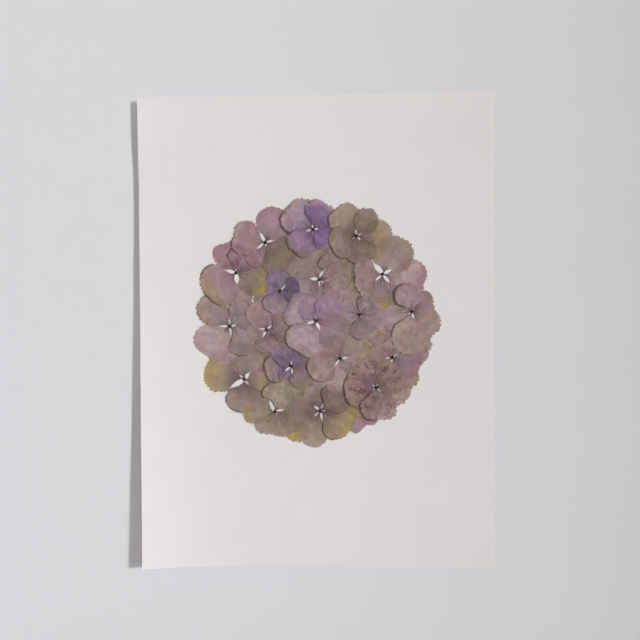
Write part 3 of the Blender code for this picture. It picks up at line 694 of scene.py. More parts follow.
@dataclass(frozen=True)
class PaperFinish:
    """Heavy cotton paper: matte warm white with a fine tooth and faint cloudiness.

    The tooth is drawn at 0.9 mm, the coarse end of what such paper has, so that it shows.
    """

    name: str = "heavy_cotton_paper"
    colour: str = "EDEBEB"
    cloud_colour: str = "E9E6E6"
    roughness: float = 0.92
    specular: float = 0.25
    cloud_size: float = 28.0
    tooth_size: float = 0.9
    tooth_depth: float = 0.08
    relief_strength: float = 0.25

    def material(self) -> Material:
        """Build the paper material.

        Returns:
            A material on Object coordinates.
        """
        material, tree, shader = new_material(
            self.name, {"Roughness": self.roughness, "Specular IOR Level": self.specular})
        here = add_node(tree, "ShaderNodeTexCoord").outputs["Object"]
        cloud = add_node(tree, "ShaderNodeTexNoise",
                         inputs={"Vector": here, "Scale": 1 / (self.cloud_size * MM),
                                 "Detail": 4.0})
        mix = add_node(tree, "ShaderNodeMix", {"data_type": "RGBA"},
                       {0: cloud.outputs[0], 6: rgba(self.cloud_colour), 7: rgba(self.colour)})
        tooth = add_node(tree, "ShaderNodeTexNoise",
                         inputs={"Vector": here, "Scale": 1 / (self.tooth_size * MM),
                                 "Detail": 4.0, "Roughness": 0.6})
        bump = add_node(tree, "ShaderNodeBump",
                        inputs={"Strength": self.relief_strength,
                                "Distance": self.tooth_depth * MM, "Height": tooth.outputs[0]})
        tree.links.new(mix.outputs[2], shader.inputs["Base Color"])
        tree.links.new(bump.outputs[0], shader.inputs["Normal"])
        return material


def closed_curve(points: Array, steps: int) -> Array:
    """A smooth closed curve through points, with each bend held to its span.

    Args:
        points: Points along the curve.
        steps: Samples for each span.

    Returns:
        The samples.
    """
    share = np.linspace(0.0, 1.0, steps, endpoint=False)[:, None]
    blend_start = 2 * share ** 3 - 3 * share ** 2 + 1
    blend_end = 3 * share ** 2 - 2 * share ** 3
    lean_start = share ** 3 - 2 * share ** 2 + share
    lean_end = share ** 3 - share ** 2
    spans = []
    for here in range(len(points)):
        before, start, end, after = (points[(here + k) % len(points)] for k in (-1, 0, 1, 2))
        span = np.linalg.norm(end - start)
        leans = []
        for lean in ((end - before) / 2, (after - start) / 2):
            length = np.linalg.norm(lean)
            leans.append(lean * min(1.0, span / length) if length > 0 else lean)
        spans.append(blend_start * start + lean_start * leans[0]
                     + blend_end * end + lean_end * leans[1])
    return np.concatenate(spans)


def respaced(curve: Array, count: int) -> Array:
    """Space points evenly along a closed curve.

    Args:
        curve: Points along the curve.
        count: How many spans to cut it into.

    Returns:
        The new points, the last one on the first.
    """
    ring = np.vstack([curve, curve[:1]])
    along = np.concatenate([[0.0], np.cumsum(np.linalg.norm(np.diff(ring, axis=0), axis=1))])
    stops = np.linspace(0.0, along[-1], count + 1)
    return np.stack([np.interp(stops, along, ring[:, axis]) for axis in (0, 1)], axis=1)


@dataclass(frozen=True)
class ToneSpread:
    """How a sepal's tones run into each other, in shares of its reach from the claw to the rim.

    Each pair of limits is where the next tone begins and where it is full.
    """

    claw_shade: float = 0.62
    inner_limits: Limits = (0.03, 0.23)
    outer_limits: Limits = (0.25, 0.65)
    rim_limits: Limits = (0.68, 1.0)
    wander_by_reach: float = 0.12
    wander_by_margin: float = 0.08
    pale_limits: Limits = (-0.1, 0.6)
    pale_scale: float = 1.3
    pale_from: float = 0.94
    pale_gain: float = 0.16
    red_scale: float = 1.2
    green_share: float = 0.2
    hue_amount: float = 0.07


@dataclass
class SepalShape:
    """The outline of one sepal on the sheet, in mm, and the way across it from its middle.

    The outline is seen from the middle of the blade, so any point of the sheet has a turn and a
    share of the way out to the margin. A notch is the angle off the sepal's axis, the length and
    the width of the gap beside its claw. The claw's foot is a share of the notch's length and one
    of the claw's half width. The shoulder is a share of the reach and one of the half breadth, and
    points with reach in their name are shares of the reach. The teeth drift along the margin by
    some share of a tooth, a few times round the sepal.
    """

    sepal: Sepal
    slits: tuple[Slit, ...]
    floret_x: float
    floret_z: float
    seed: int
    points: int
    has_bud: bool = True
    middle_share: float = 0.55
    curve_steps: int = 10
    margin_points: int = 4
    slit_angles: Limits = (5.0, 100.0)
    widest_angle: float = 80.0
    notch: Triple = (45.0, 2.0, 0.6)
    tucked_notch: Triple = (45.0, 0.4, 0.1)
    base_point: float = -0.3
    claw_half_width: float = 0.42
    claw_foot: Pair = (0.15, 0.8)
    slit_lip: float = 0.1
    shoulder: Pair = (0.36, 0.88)
    shoulder_past_slit: float = 0.05
    broadest_reach: float = 0.62
    near_end_reach: float = 0.86
    at_end_reach: float = 0.97
    blade_limits: Limits = (0.2, 0.36)
    bend_spacing: float = 5.5
    tooth_sizes: Limits = (0.35, 1.0)
    tooth_rise: float = 0.74
    tooth_drift: float = 0.8
    drifts_around: int = 3
    lifted_side: float = 190.0
    lifted_limits: Limits = (-0.25, 0.6)
    ripple_seed: int = 5000
    ripple_seed_step: int = 700
    ripple_spans: tuple[float, ...] = (26.0, 17.0, 11.0, 7.0)
    spread: ToneSpread = ToneSpread()
    outline: Array = field(init=False)
    middle: Array = field(init=False)
    turns: Array = field(init=False)
    spans: Array = field(init=False)

    def __post_init__(self) -> None:
        """Work out the outline in the sepal's own frame, and its span for every turn."""
        self.middle = np.array([self.middle_share * self.sepal.reach, 0.0])
        plain = closed_curve(self.corners(), self.curve_steps)
        flat = self.with_margin(respaced(plain, self.margin_points * self.points))
        self.outline = respaced(flat[:-1], self.points)
        spoke = flat[:-1] - self.middle
        turns = np.arctan2(spoke[:, 1], spoke[:, 0])
        order = np.argsort(turns)
        self.turns = turns[order]
        self.spans = np.hypot(spoke[order, 0], spoke[order, 1])

    def notch_beside(self, side: int) -> Triple:
        """The notch on one side of the sepal: the slit that lies there, or else a small one.

        Args:
            side: 1 for the side that headings turn to, -1 for the other.

        Returns:
            The notch's angle off the sepal's axis in degrees, its length and its width in mm.
        """
        nearest, farthest = self.slit_angles
        beside = []
        for slit in self.slits:
            off = side * ((slit.heading - self.sepal.heading + 180) % 360 - 180)
            if nearest < off < farthest:
                beside.append((min(off, self.widest_angle), slit.length, slit.width))
        return min(beside, default=self.notch if self.has_bud else self.tucked_notch)

    def corners(self) -> Array:
        """Set out the points that the sepal's outline is drawn through.

        Returns:
            The points in the sepal's own frame, claw first.
        """
        reach, half = self.sepal.reach, self.sepal.breadth / 2
        near_end, at_end, end = self.sepal.tip.value
        sides = []
        for side in (-1, 1):
            off, length, width = self.notch_beside(side)
            along = np.array([cos(radians(off)), side * sin(radians(off))])
            inward = np.array([sin(radians(off)), -side * cos(radians(off))])
            foot_along, foot_across = self.claw_foot
            shoulder_reach, shoulder_breadth = self.shoulder
            shoulder_x = max(shoulder_reach * reach,
                             length * along[0] + self.shoulder_past_slit * reach)
            blade = ((shoulder_x, shoulder_breadth), (self.broadest_reach * reach, 1.0),
                     (self.near_end_reach * reach, near_end), (self.at_end_reach * reach, at_end))
            sides.append([(foot_along * length, foot_across * self.claw_half_width * side),
                          along * length / 2 + inward * width / 2,
                          along * length + inward * self.slit_lip,
                          *((x, breadth * half * side) for x, breadth in blade)])
        right, left = sides
        return np.array([(self.base_point, 0.0), *right, (end * reach, 0.0), *left[::-1]])

    def with_margin(self, flat: Array) -> Array:
        """Give the blade's margin its bends and its teeth, which point to the tip.

        Args:
            flat: The plain outline in the sepal's own frame, the last point on the first.

        Returns:
            The outline with its margin.
        """
        depth, spacing, bend = self.sepal.edge.value
        random = np.random.default_rng(self.seed)
        spoke = flat - self.middle
        length = np.hypot(spoke[:, 0], spoke[:, 1])
        along = np.linspace(0.0, 1.0, len(flat))
        around = np.linalg.norm(np.diff(flat, axis=0), axis=1).sum()
        blade = smoothstep(*self.blade_limits, flat[:, 0] / self.sepal.reach)
        knots = np.sort(random.random(round(around / self.bend_spacing)))
        bends = np.interp(along, knots, random.uniform(-bend, bend, len(knots)), period=1.0)
        teeth = round(around / spacing)
        wave = np.sin(2 * pi * (self.drifts_around * along + random.random()))
        place = teeth * along + self.tooth_drift * wave
        step = place % 1.0
        to_tip = np.where(along < 0.5, step, 1.0 - step)
        size = random.uniform(*self.tooth_sizes, teeth)[np.floor(place).astype(int) % teeth]
        rise = self.tooth_rise
        tooth = np.where(to_tip < rise, to_tip / rise, (1 - to_tip) / (1 - rise))
        bite = depth * size * (tooth - 0.5)
        moved = self.middle + spoke * ((length + blade * (bends + bite)) / length)[:, None]
        moved[-1] = moved[0]
        return moved

    def to_sheet(self, flat: Array) -> Array:
        """Turn points of the sepal's own frame into places on the sheet.

        Args:
            flat: Points in the sepal's own frame.

        Returns:
            Their sheet x and z in mm.
        """
        turn = radians(self.sepal.heading)
        x = flat[..., 0] * cos(turn) - flat[..., 1] * sin(turn) + self.floret_x
        z = flat[..., 0] * sin(turn) + flat[..., 1] * cos(turn) + self.floret_z
        return np.stack([x, z], axis=-1)

    def to_own(self, sheet: Array) -> Array:
        """Turn places on the sheet into points of the sepal's own frame.

        Args:
            sheet: Sheet x and z in mm.

        Returns:
            The points, x from the claw to the tip.
        """
        turn = radians(self.sepal.heading)
        dx, dz = sheet[..., 0] - self.floret_x, sheet[..., 1] - self.floret_z
        return np.stack([dx * cos(turn) + dz * sin(turn), dz * cos(turn) - dx * sin(turn)],
                        axis=-1)

    def margin_share(self, own: Array) -> tuple[Array, Array]:
        """How far points lie from the middle to the margin.

        Args:
            own: Points in the sepal's own frame.

        Returns:
            The share of the way out, and the distance in mm still left to the margin.
        """
        spoke = own - self.middle
        length = np.hypot(spoke[..., 0], spoke[..., 1])
        turn = np.arctan2(spoke[..., 1], spoke[..., 0])
        span = np.interp(turn, self.turns, self.spans, period=2 * pi)
        return length / span, span - length

    def facing(self, own: Array) -> Array:
        """How much the margin beyond a point looks to the side where margins lift, 0 to 1."""
        turn = np.arctan2(own[..., 1], own[..., 0] - self.middle[0]) + radians(self.sepal.heading)
        return smoothstep(*self.lifted_limits, np.cos(turn - radians(self.lifted_side)))

    def ripple(self, sheet: Array, pattern: int = 0) -> Array:
        """A soft wandering pattern over the sheet, its own for each sepal.

        Args:
            sheet: Sheet x and z in mm.
            pattern: Which of the sepal's patterns.

        Returns:
            Values from -1 to 1.
        """
        random = np.random.default_rng(self.seed + self.ripple_seed
                                       + self.ripple_seed_step * pattern)
        total = np.zeros(sheet.shape[:-1])
        for span in self.ripple_spans:
            way = random.uniform(0, 2 * pi)
            phase = random.uniform(0, 2 * pi)
            run = sheet[..., 0] * cos(way) + sheet[..., 1] * sin(way)
            total += np.sin(2 * pi / span * run + phase)
        return total / len(self.ripple_spans)

    def tone(self, sheet: Array) -> Array:
        """The petal's own colour, from the dark claw out to the rim.

        Args:
            sheet: Sheet x and z in mm.

        Returns:
            Linear red, green and blue at each point.
        """
        sepal, spread = self.sepal, self.spread
        own = self.to_own(sheet)
        share, _ = self.margin_share(own)
        out = np.hypot(own[..., 0], own[..., 1]) / sepal.reach
        wander = self.ripple(sheet)
        edge = np.maximum(out + spread.wander_by_reach * wander,
                          share * out + spread.wander_by_margin * wander)
        inner = linear(sepal.inner.value)
        colour = linear(Tone.DEEP_PLUM.value) * spread.claw_shade if self.has_bud else inner
        for tone, limits, place in ((inner, spread.inner_limits, out),
                                    (linear(sepal.outer.value), spread.outer_limits, edge),
                                    (linear(sepal.rim.value), spread.rim_limits, edge)):
            colour = colour + (tone - colour) * smoothstep(*limits, place)[..., None]
        pale = smoothstep(*spread.pale_limits, self.ripple(sheet * spread.pale_scale, 1))
        hue = np.stack([self.ripple(sheet * spread.red_scale, 2),
                        self.ripple(sheet, 3) * spread.green_share,
                        self.ripple(sheet, 4)], axis=-1)
        level = spread.pale_from + spread.pale_gain * pale[..., None]
        return colour * level * (1 + spread.hue_amount * hue)


def sliding(values: Array, reach: int, axis: int, summary: Callable[..., Array]) -> Array:
    """Sum up what lies within some reach of each cell along one axis.

    Args:
        values: A grid.
        reach: How many cells each way.
        axis: The grid's axis to look along.
        summary: What to take of the values within reach, such as their mean.

    Returns:
        A grid of the same size.
    """
    padding = [(reach, reach) if other == axis else (0, 0) for other in (0, 1)]
    padded = np.pad(values, padding, mode="edge")
    count = values.shape[axis]
    shifted = [np.take(padded, range(k, k + count), axis=axis) for k in range(2 * reach + 1)]
    return summary(shifted, axis=0)


def widest(values: Array, reach: int) -> Array:
    """The highest value within a square reach of each cell."""
    return sliding(sliding(values, reach, 0, np.max), reach, 1, np.max)


def blurred(values: Array, reach: int) -> Array:
    """A soft blur: two box averages along each axis.

    Args:
        values: A grid.
        reach: How many cells each average looks each way.

    Returns:
        The blurred grid.
    """
    for axis in (0, 1, 0, 1):
        values = sliding(values, reach, axis, np.mean)
    return values


@dataclass
class PressingBed:
    """What already lies on the sheet while florets are laid: its height and the colour on show.

    Both are kept on a fine grid over the disc. Sizes and heights are in mm, heights from the
    paper's face. Colours on show are kept as shares of the neutral level, the linear value that
    doesn't tint a petal laid over it. Bare paper counts as neutral. The values named least are
    how much of a margin's lift is left where its wave is low or it looks away.
    """

    middle_x: float = 0.0
    middle_z: float = 6.0
    half_size: float = 92.0
    cell: float = 0.3
    spare_cells: int = 6
    petal_thickness: float = 0.08
    clearance: float = 0.05
    held_share: float = 1.15
    drape_reach: int = 2
    free_reach: int = 3
    free_limits: Limits = (0.35, 1.0)
    wave_scale: float = 1.6
    least_wave: float = 0.25
    least_facing: float = 0.1
    lifted_band: float = 2.6
    billow_height: float = 0.08
    billow_rise: float = 3.0
    translucence: float = 0.3
    neutral_level: float = 0.72
    height: Array = field(init=False)
    shown: Array = field(init=False)
    owner: Array = field(init=False)

    def __post_init__(self) -> None:
        """Start with bare paper."""
        count = int(2 * self.half_size / self.cell) + 1
        self.height = np.zeros((count, count))
        self.shown = np.ones((count, count, 3))
        self.owner = np.full((count, count), -1)

    def corner(self) -> Array:
        """The sheet place of the grid's first cell."""
        return np.array([self.middle_x - self.half_size, self.middle_z - self.half_size])

    def window(self, shape: SepalShape) -> tuple[tuple[slice, slice], Array]:
        """The part of the grid round a sepal.

        Args:
            shape: The sepal.

        Returns:
            The part as slices, and the sheet place of each of its cells in mm.
        """
        sheet = shape.to_sheet(shape.outline)
        first = np.floor((sheet.min(axis=0) - self.corner()) / self.cell).astype(int)
        last = np.ceil((sheet.max(axis=0) - self.corner()) / self.cell).astype(int)
        low, high = first - self.spare_cells, last + self.spare_cells + 1
        rows, columns = np.mgrid[low[1]:high[1], low[0]:high[0]]
        places = np.stack([columns, rows], axis=-1) * self.cell + self.corner()
        return (slice(low[1], high[1]), slice(low[0], high[0])), places

    def claim(self, shape: SepalShape, number: int) -> None:
        """Note that a sepal lies topmost in its cells, over those that came before.

        Args:
            shape: The sepal.
            number: Its place in the order of laying.
        """
        part, places = self.window(shape)
        share, _ = shape.margin_share(shape.to_own(places))
        self.owner[part][share <= 1] = number

    def sample(self, grid: Array, part: tuple[slice, slice], sheet: Array) -> Array:
        """Read a window of the grid between its cells.

        Args:
            grid: The window's values.
            part: Where the window lies in the whole grid.
            sheet: The sheet x and z of the points to read, in mm.

        Returns:
            The value at each point.
        """
        place = (sheet - self.corner()) / self.cell
        rows, columns = grid.shape[0] - 1 - TINY, grid.shape[1] - 1 - TINY
        x = np.clip(place[..., 0] - part[1].start, 0, columns)
        z = np.clip(place[..., 1] - part[0].start, 0, rows)
        column, row = x.astype(int), z.astype(int)
        fx, fz = x - column, z - row
        if grid.ndim == 3:
            fx, fz = fx[..., None], fz[..., None]
        near = grid[row, column] * (1 - fx) + grid[row, column + 1] * fx
        far = grid[row + 1, column] * (1 - fx) + grid[row + 1, column + 1] * fx
        return near * (1 - fz) + far * fz

    def free_share(self, inside: Array, mine: Array) -> Array:
        """How free a sepal is to lift, 1 where no later sepal lies over it or near.

        Args:
            inside: Whether each cell lies in the sepal.
            mine: Whether the sepal lies topmost there too.

        Returns:
            A share from 0 to 1 for each cell.
        """
        free = (blurred(mine.astype(float), self.free_reach)
                / np.maximum(blurred(inside.astype(float), self.free_reach), TINY))
        return smoothstep(*self.free_limits, np.clip(free, 0, 1))

    def tinted(self, own: Array, shown: Array) -> Array:
        """A petal's own colour, tinted by the colour that shows through from below."""
        return own * (1 - self.translucence + self.translucence * shown)

    def lay(self, shape: SepalShape, number: int, sheet: Array) -> tuple[Array, Array]:
        """Press one sepal down on what lies there.

        Args:
            shape: The sepal.
            number: Its place in the order of laying.
            sheet: The sheet x and z of the sepal's mesh points, in mm.

        Returns:
            The height of its underside and its colour on show, at each mesh point.
        """
        part, places = self.window(shape)
        own = shape.to_own(places)
        share, left = shape.margin_share(own)
        inside = share <= 1
        below, shown = self.height[part], self.shown[part]
        held = widest(np.where(share < self.held_share, below, 0.0), self.drape_reach)
        resting = blurred(held, self.drape_reach)
        resting = np.maximum(resting, np.where(inside, below, 0.0)) + self.clearance
        wave = 0.5 + 0.5 * shape.ripple(places * self.wave_scale)
        curl = (shape.sepal.lift * at_least(self.least_wave, wave)
                * at_least(self.least_facing, shape.facing(own))
                * smoothstep(self.lifted_band, 0.0, left))
        billow = self.billow_height * wave * smoothstep(0.0, self.billow_rise, left)
        free = self.free_share(inside, (self.owner[part] == number) & inside)
        underside = resting + free * (curl + billow)
        colour = self.tinted(shape.tone(places), shown)
        result = (self.sample(underside, part, sheet),
                  self.tinted(shape.tone(sheet), self.sample(shown, part, sheet)))
        below[inside] = underside[inside] + self.petal_thickness
        shown[inside] = colour[inside] / self.neutral_level
        return result

    def cell_at(self, x: float, z: float) -> tuple[int, int]:
        """The row and column of the cell at a place on the sheet."""
        column, row = np.round((np.array([x, z]) - self.corner()) / self.cell).astype(int)
        return int(row), int(column)

    def press_bud(self, x: float, z: float, radius: float, top: float) -> None:
        """Note the height of a bud, so that what comes later lies over it.

        Args:
            x: Its place across the sheet, in mm.
            z: Its place up the sheet, in mm.
            radius: Its radius in mm.
            top: The height of its top over the paper's face, in mm.
        """
        axis = np.arange(self.height.shape[0]) * self.cell
        dx = axis[None, :] + self.corner()[0] - x
        dz = axis[:, None] + self.corner()[1] - z
        round_bud = dx ** 2 + dz ** 2 < radius ** 2
        self.height[round_bud] = np.maximum(self.height[round_bud], top)


def facing_along_y(work: Mesh, faces: Sequence[Face], way: int) -> None:
    """Make faces look one way along y.

    Args:
        work: The mesh.
        faces: The faces, all in one sheet.
        way: 1 to look to the wall, -1 to look to the viewer.
    """
    bmesh.ops.recalc_face_normals(work, faces=faces)
    if way * sum(face.normal.y for face in faces) < 0:
        bmesh.ops.reverse_faces(work, faces=faces)


def extruded(work: Mesh, faces: Sequence[Face]) -> list[bmesh.types.BMVert]:
    """Extrude faces in place.

    Args:
        work: The mesh.
        faces: The faces, all in one sheet.

    Returns:
        The new vertices, which haven't moved yet.
    """
    grown = bmesh.ops.extrude_face_region(work, geom=faces)["geom"]
    return [part for part in grown if isinstance(part, bmesh.types.BMVert)]


def shaded_smooth(work: Mesh, faces: Sequence[Face], sharpest: float) -> None:
    """Point a closed shell's faces outwards and shade it smooth between its sharp edges.

    Args:
        work: The mesh.
        faces: The shell's faces.
        sharpest: The turn in degrees from which an edge is sharp.
    """
    bmesh.ops.recalc_face_normals(work, faces=faces)
    for face in faces:
        face.smooth = True
    for edge in {edge for face in faces for edge in face.edges}:
        edge.smooth = len(edge.link_faces) != 2 or edge.calc_face_angle() < radians(sharpest)


def finished_piece(name: str, work: Mesh, materials: list[Material]) -> bpy.types.Object:
    """Turn a bmesh into a piece at the origin and put it in the scene.

    Args:
        name: The piece's name.
        work: The mesh, which is freed.
        materials: Its materials in slot order.

    Returns:
        The piece.
    """
    mesh = bpy.data.meshes.new(name)
    work.to_mesh(mesh)
    work.free()
    for material in materials:
        mesh.materials.append(material)
    piece = bpy.data.objects.new(name, mesh)
    bpy.context.scene.collection.objects.link(piece)
    return piece


@dataclass
class PaperSheet:
    """The sheet of heavy paper, its left margin curled forward and a faint cockle from the paste.

    Sizes are in mm. The cockle is a broad swell and a slanting one. The crowding is how much
    closer the sheet's columns stand on the curled side.
    """

    width: float = 228.6
    height: float = 304.8
    thickness: float = 0.5
    curl_width_top: float = 44.0
    curl_width_foot: float = 70.0
    lift_top: float = 2.5
    lift_top_limits: Limits = (0.8, 1.0)
    lift_foot: float = 10.4
    lift_foot_power: float = 1.9
    columns: int = 132
    rows: int = 150
    crowding: float = 0.4
    sharpest: float = 50.0
    cockle_depth: float = 0.3
    cockle_inland: float = 50.0
    cockle_limits: Limits = (-1.0, 1.5)
    broad_swell: Pair = (31.0, 44.0)
    broad_phase: Pair = (0.6, 1.1)
    slant_swell: Pair = (19.0, 27.0)
    slant_share: float = 0.5
    finish: PaperFinish = PaperFinish()

    def cockle(self, x: Array, z: Array) -> Array:
        """How far the paste has cockled the sheet off the wall, never behind it.

        Args:
            x: Places across the flat sheet, in mm from its middle.
            z: Places up the sheet, in mm from its middle.

        Returns:
            How far each place stands forward, in mm.
        """
        swell = (np.sin(x / self.broad_swell[0] + self.broad_phase[0])
                 * np.sin(z / self.broad_swell[1] + self.broad_phase[1])
                 + self.slant_share
                 * np.sin(x / self.slant_swell[0] - z / self.slant_swell[1]))
        inland = smoothstep(0.0, self.cockle_inland, x + self.width / 2)
        return self.cockle_depth * inland * smoothstep(*self.cockle_limits, swell)

    def curl(self, x: Array, z: Array) -> tuple[Array, Array]:
        """How the left margin curls, as a parabola whose length along the paper stays the same.

        Args:
            x: Places across the flat sheet, in mm from its middle.
            z: Places up the sheet, in mm from its middle.

        Returns:
            How far each place stands forward, and how far the curl draws it in, in mm.
        """
        up = z / self.height + 0.5
        lift = (self.lift_foot * np.maximum(1 - up, 0) ** self.lift_foot_power
                + self.lift_top * smoothstep(*self.lift_top_limits, up))
        breadth = self.curl_width_foot + (self.curl_width_top - self.curl_width_foot) * up
        into = np.maximum(breadth - self.width / 2 - x, 0)
        return lift * (into / breadth) ** 2, 2 * lift ** 2 * into ** 3 / (3 * breadth ** 4)

    def face_height(self, x: Array, z: Array) -> Array:
        """The height of the paper's face off the wall, in mm."""
        return self.thickness + self.cockle(x, z) + self.curl(x, z)[0]

    def back_point(self, x: float, z: float) -> Vector:
        """A point of the sheet's back.

        Args:
            x: Its place across the flat sheet, in mm from the middle.
            z: Its place up the sheet, in mm from the middle.

        Returns:
            The point in metres.
        """
        here = np.array(x), np.array(z)
        forward, drawn_in = self.curl(*here)
        return Vector((x + float(drawn_in), -float(forward + self.cockle(*here)), z)) * MM

    def build(self) -> bpy.types.Object:
        """Make the sheet.

        Returns:
            The sheet's piece.
        """
        work = bmesh.new()
        bmesh.ops.create_grid(work, x_segments=self.columns, y_segments=self.rows, size=0.5)
        for vertex in work.verts:
            share = vertex.co.x + 0.5
            across = self.width * ((1 - self.crowding) * share + self.crowding * share ** 2)
            vertex.co = self.back_point(across - self.width / 2, vertex.co.y * self.height)
        facing_along_y(work, work.faces[:], -1)
        outward = {vertex: vertex.normal.copy() for vertex in work.verts}
        for vertex in extruded(work, work.faces[:]):
            beside = (edge.other_vert(vertex) for edge in vertex.link_edges)
            near = min((other for other in beside if other in outward),
                       key=lambda other: (other.co - vertex.co).length, default=None)
            normal = outward[near] if near is not None else vertex.normal
            vertex.co += normal * self.thickness * MM
        shaded_smooth(work, work.faces[:], self.sharpest)
        piece = finished_piece("paper_sheet", work, [self.finish.material()])
        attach(piece, BODY)
        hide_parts("sheet")
        return piece


@dataclass
class PressedFloret:
    """One pressed floret: thin sepals laid over what is there, and the dried bud on their claws.

    Sizes are in mm. Limits say between which distances from the claw or the margin, or between
    which heights of a ripple, a mark comes in, and values named least how much of it is left
    elsewhere. The crowding draws a blade's rings to its margin.
    """

    floret: Floret
    number: int
    sheet: PaperSheet
    bed: PressingBed
    petal: Material
    bud: Material
    around: int = 190
    rings: int = 9
    tucked_around: int = 120
    tucked_rings: int = 8
    crowding: float = 1.6
    merged: float = 0.002
    sharpest: float = 55.0
    seed_step: int = 100
    number_step: int = 10
    pattern_step: float = 3.7
    vein_margin: float = 1.5
    vein_limits: Limits = (12.0, 2.5)
    speck_scale: float = 2.2
    speck_limits: Limits = (-0.7, 0.4)
    speck_claw_limits: Limits = (0.12, 0.35)
    speck_margin_limits: Limits = (0.3, 3.5)
    least_specks: float = 0.3
    # These set the dark margin: browning of the dried edge plus painted shadow of lifted margins.
    brown_shadow_scale: float = 2.0
    brown_shadow_limits: Limits = (-0.25, 0.15)
    brown_shadow_ripple: int = 5
    brown_shadow_by_lift: float = 0.4
    brown_shadow_gain: float = 1.5
    least_brown_shadow: float = 0.15
    band: float = 0.44
    band_by_lift: float = 0.27
    band_limits: Limits = (1.3, 0.5)
    bud_radius: float = 1.15
    bud_height: float = 0.95
    bud_sink: float = 0.12
    bud_foot: float = -0.1
    bud_sides: int = 24
    bud_rings: int = 12
    crease_depth: float = 0.16
    crease_sharpness: int = 6
    least_crease: float = 0.3
    crease_turn: float = 0.3
    bulges: int = 3
    bulge: float = 0.05
    shapes: list[SepalShape] = field(init=False)

    def __post_init__(self) -> None:
        """Draw the sepals' outlines."""
        if self.tucked:
            self.around, self.rings = self.tucked_around, self.tucked_rings
        self.shapes = [SepalShape(sepal, self.floret.slits, self.floret.x, self.floret.z,
                                  self.seed_step * self.number + order, self.around,
                                  not self.tucked)
                       for order, sepal in enumerate(self.floret.sepals)]

    @property
    def tucked(self) -> bool:
        """Whether this floret lies mostly under others, its bud out of sight."""
        return self.floret.node.startswith("tucked")

    def numbered(self) -> list[tuple[SepalShape, int]]:
        """The sepals, each with its number in the order of laying over the whole sheet."""
        first = self.number_step * self.number
        return [(shape, first + order) for order, shape in enumerate(self.shapes)]

    def claim(self) -> None:
        """Note on the bed where each sepal lies topmost."""
        for shape, number in self.numbered():
            self.bed.claim(shape, number)

    def marks(self, shape: SepalShape, own: Array, sheet: Array, left: Array) -> Array:
        """How strongly veins, specks and the browned, painted-shadow margin show on a sepal.

        Args:
            shape: The sepal's outline.
            own: Points in the sepal's own frame.
            sheet: The same points as sheet x and z in mm.
            left: How far each is from the margin, in mm.

        Returns:
            The three strengths at each point.
        """
        sepal = shape.sepal
        reach = np.hypot(own[:, 0], own[:, 1])
        strength, far = sepal.veins.value
        veins = (strength * smoothstep(0.0, self.vein_margin, left)
                 * at_least(far, smoothstep(*self.vein_limits, reach)))
        specks = (smoothstep(*self.speck_limits, shape.ripple(sheet * self.speck_scale))
                  * smoothstep(*self.speck_claw_limits, reach / sepal.reach)
                  * at_least(self.least_specks,
                             smoothstep(*self.speck_margin_limits, left)))
        # Dark margin: browned dried edge plus painted shadow, stronger with more lift and where the
        # margin faces down and left, away from the key light.
        ripple = shape.ripple(sheet * self.brown_shadow_scale, self.brown_shadow_ripple)
        broken = smoothstep(*self.brown_shadow_limits, ripple + self.brown_shadow_by_lift * sepal.lift)
        none, full = (share * (self.band + self.band_by_lift * sepal.lift)
                      for share in self.band_limits)
        brown_and_shadow = (min(1.0, self.brown_shadow_gain * sepal.lift) * smoothstep(none, full, left) * broken
                 * at_least(self.least_brown_shadow, shape.facing(own)))
        return np.stack([veins, specks * sepal.speckle, brown_and_shadow], axis=1)

    def blade(self, work: Mesh, shape: SepalShape, number: int) -> None:
        """Add one thin sepal to the floret's mesh.

        Args:
            work: The floret's mesh.
            shape: The sepal's outline.
            number: Its place in the order of laying.
        """
        tone_layer, place_layer, marks_layer = self.layers(work)
        before = set(work.faces)
        grid = bmesh.ops.create_grid(work, x_segments=self.around, y_segments=self.rings,
                                     size=0.5)["verts"]
        steps = np.array([(v.co.x + 0.5, v.co.y + 0.5) for v in grid])
        stop = np.clip(np.round(steps[:, 0] * self.around).astype(int), 0, self.around)
        rim = np.vstack([shape.outline, shape.outline[:1]])[stop]
        share = 1 - (1 - steps[:, 1]) ** self.crowding
        own = shape.middle + (rim - shape.middle) * share[:, None]
        sheet = shape.to_sheet(own)
        height, tones = self.bed.lay(shape, number, sheet)
        height += self.sheet.face_height(sheet[:, 0], sheet[:, 1])
        marks = self.marks(shape, own, sheet, np.linalg.norm(rim - own, axis=1))
        for vertex, (x, z), y, tone, (along, off), mark in zip(
                grid, sheet, height, tones, own, marks):
            vertex.co = Vector((x, -y, z)) * MM
            vertex[tone_layer] = (*tone, 1.0)
            vertex[place_layer] = Vector((along, off, self.pattern_step * number))
            vertex[marks_layer] = Vector(mark)
        bmesh.ops.remove_doubles(work, verts=grid, dist=self.merged * MM)
        faces = [face for face in work.faces if face not in before]
        facing_along_y(work, faces, 1)
        for vertex in extruded(work, faces):
            vertex.co.y -= self.bed.petal_thickness * MM
        shell = [face for face in work.faces if face not in before]
        shaded_smooth(work, shell, self.sharpest)

    @staticmethod
    def layers(work: Mesh) -> list[Any]:
        """The mesh layers that the petal finish reads, made when missing.

        Args:
            work: The floret's mesh.

        Returns:
            The layers of tone, place and marks.
        """
        colours, vectors = work.verts.layers.float_color, work.verts.layers.float_vector
        stores = (colours, vectors, vectors)
        for store, name in zip(stores, PETAL_LAYERS):
            if store.get(name) is None:
                store.new(name)
        return [store.get(name) for store, name in zip(stores, PETAL_LAYERS)]

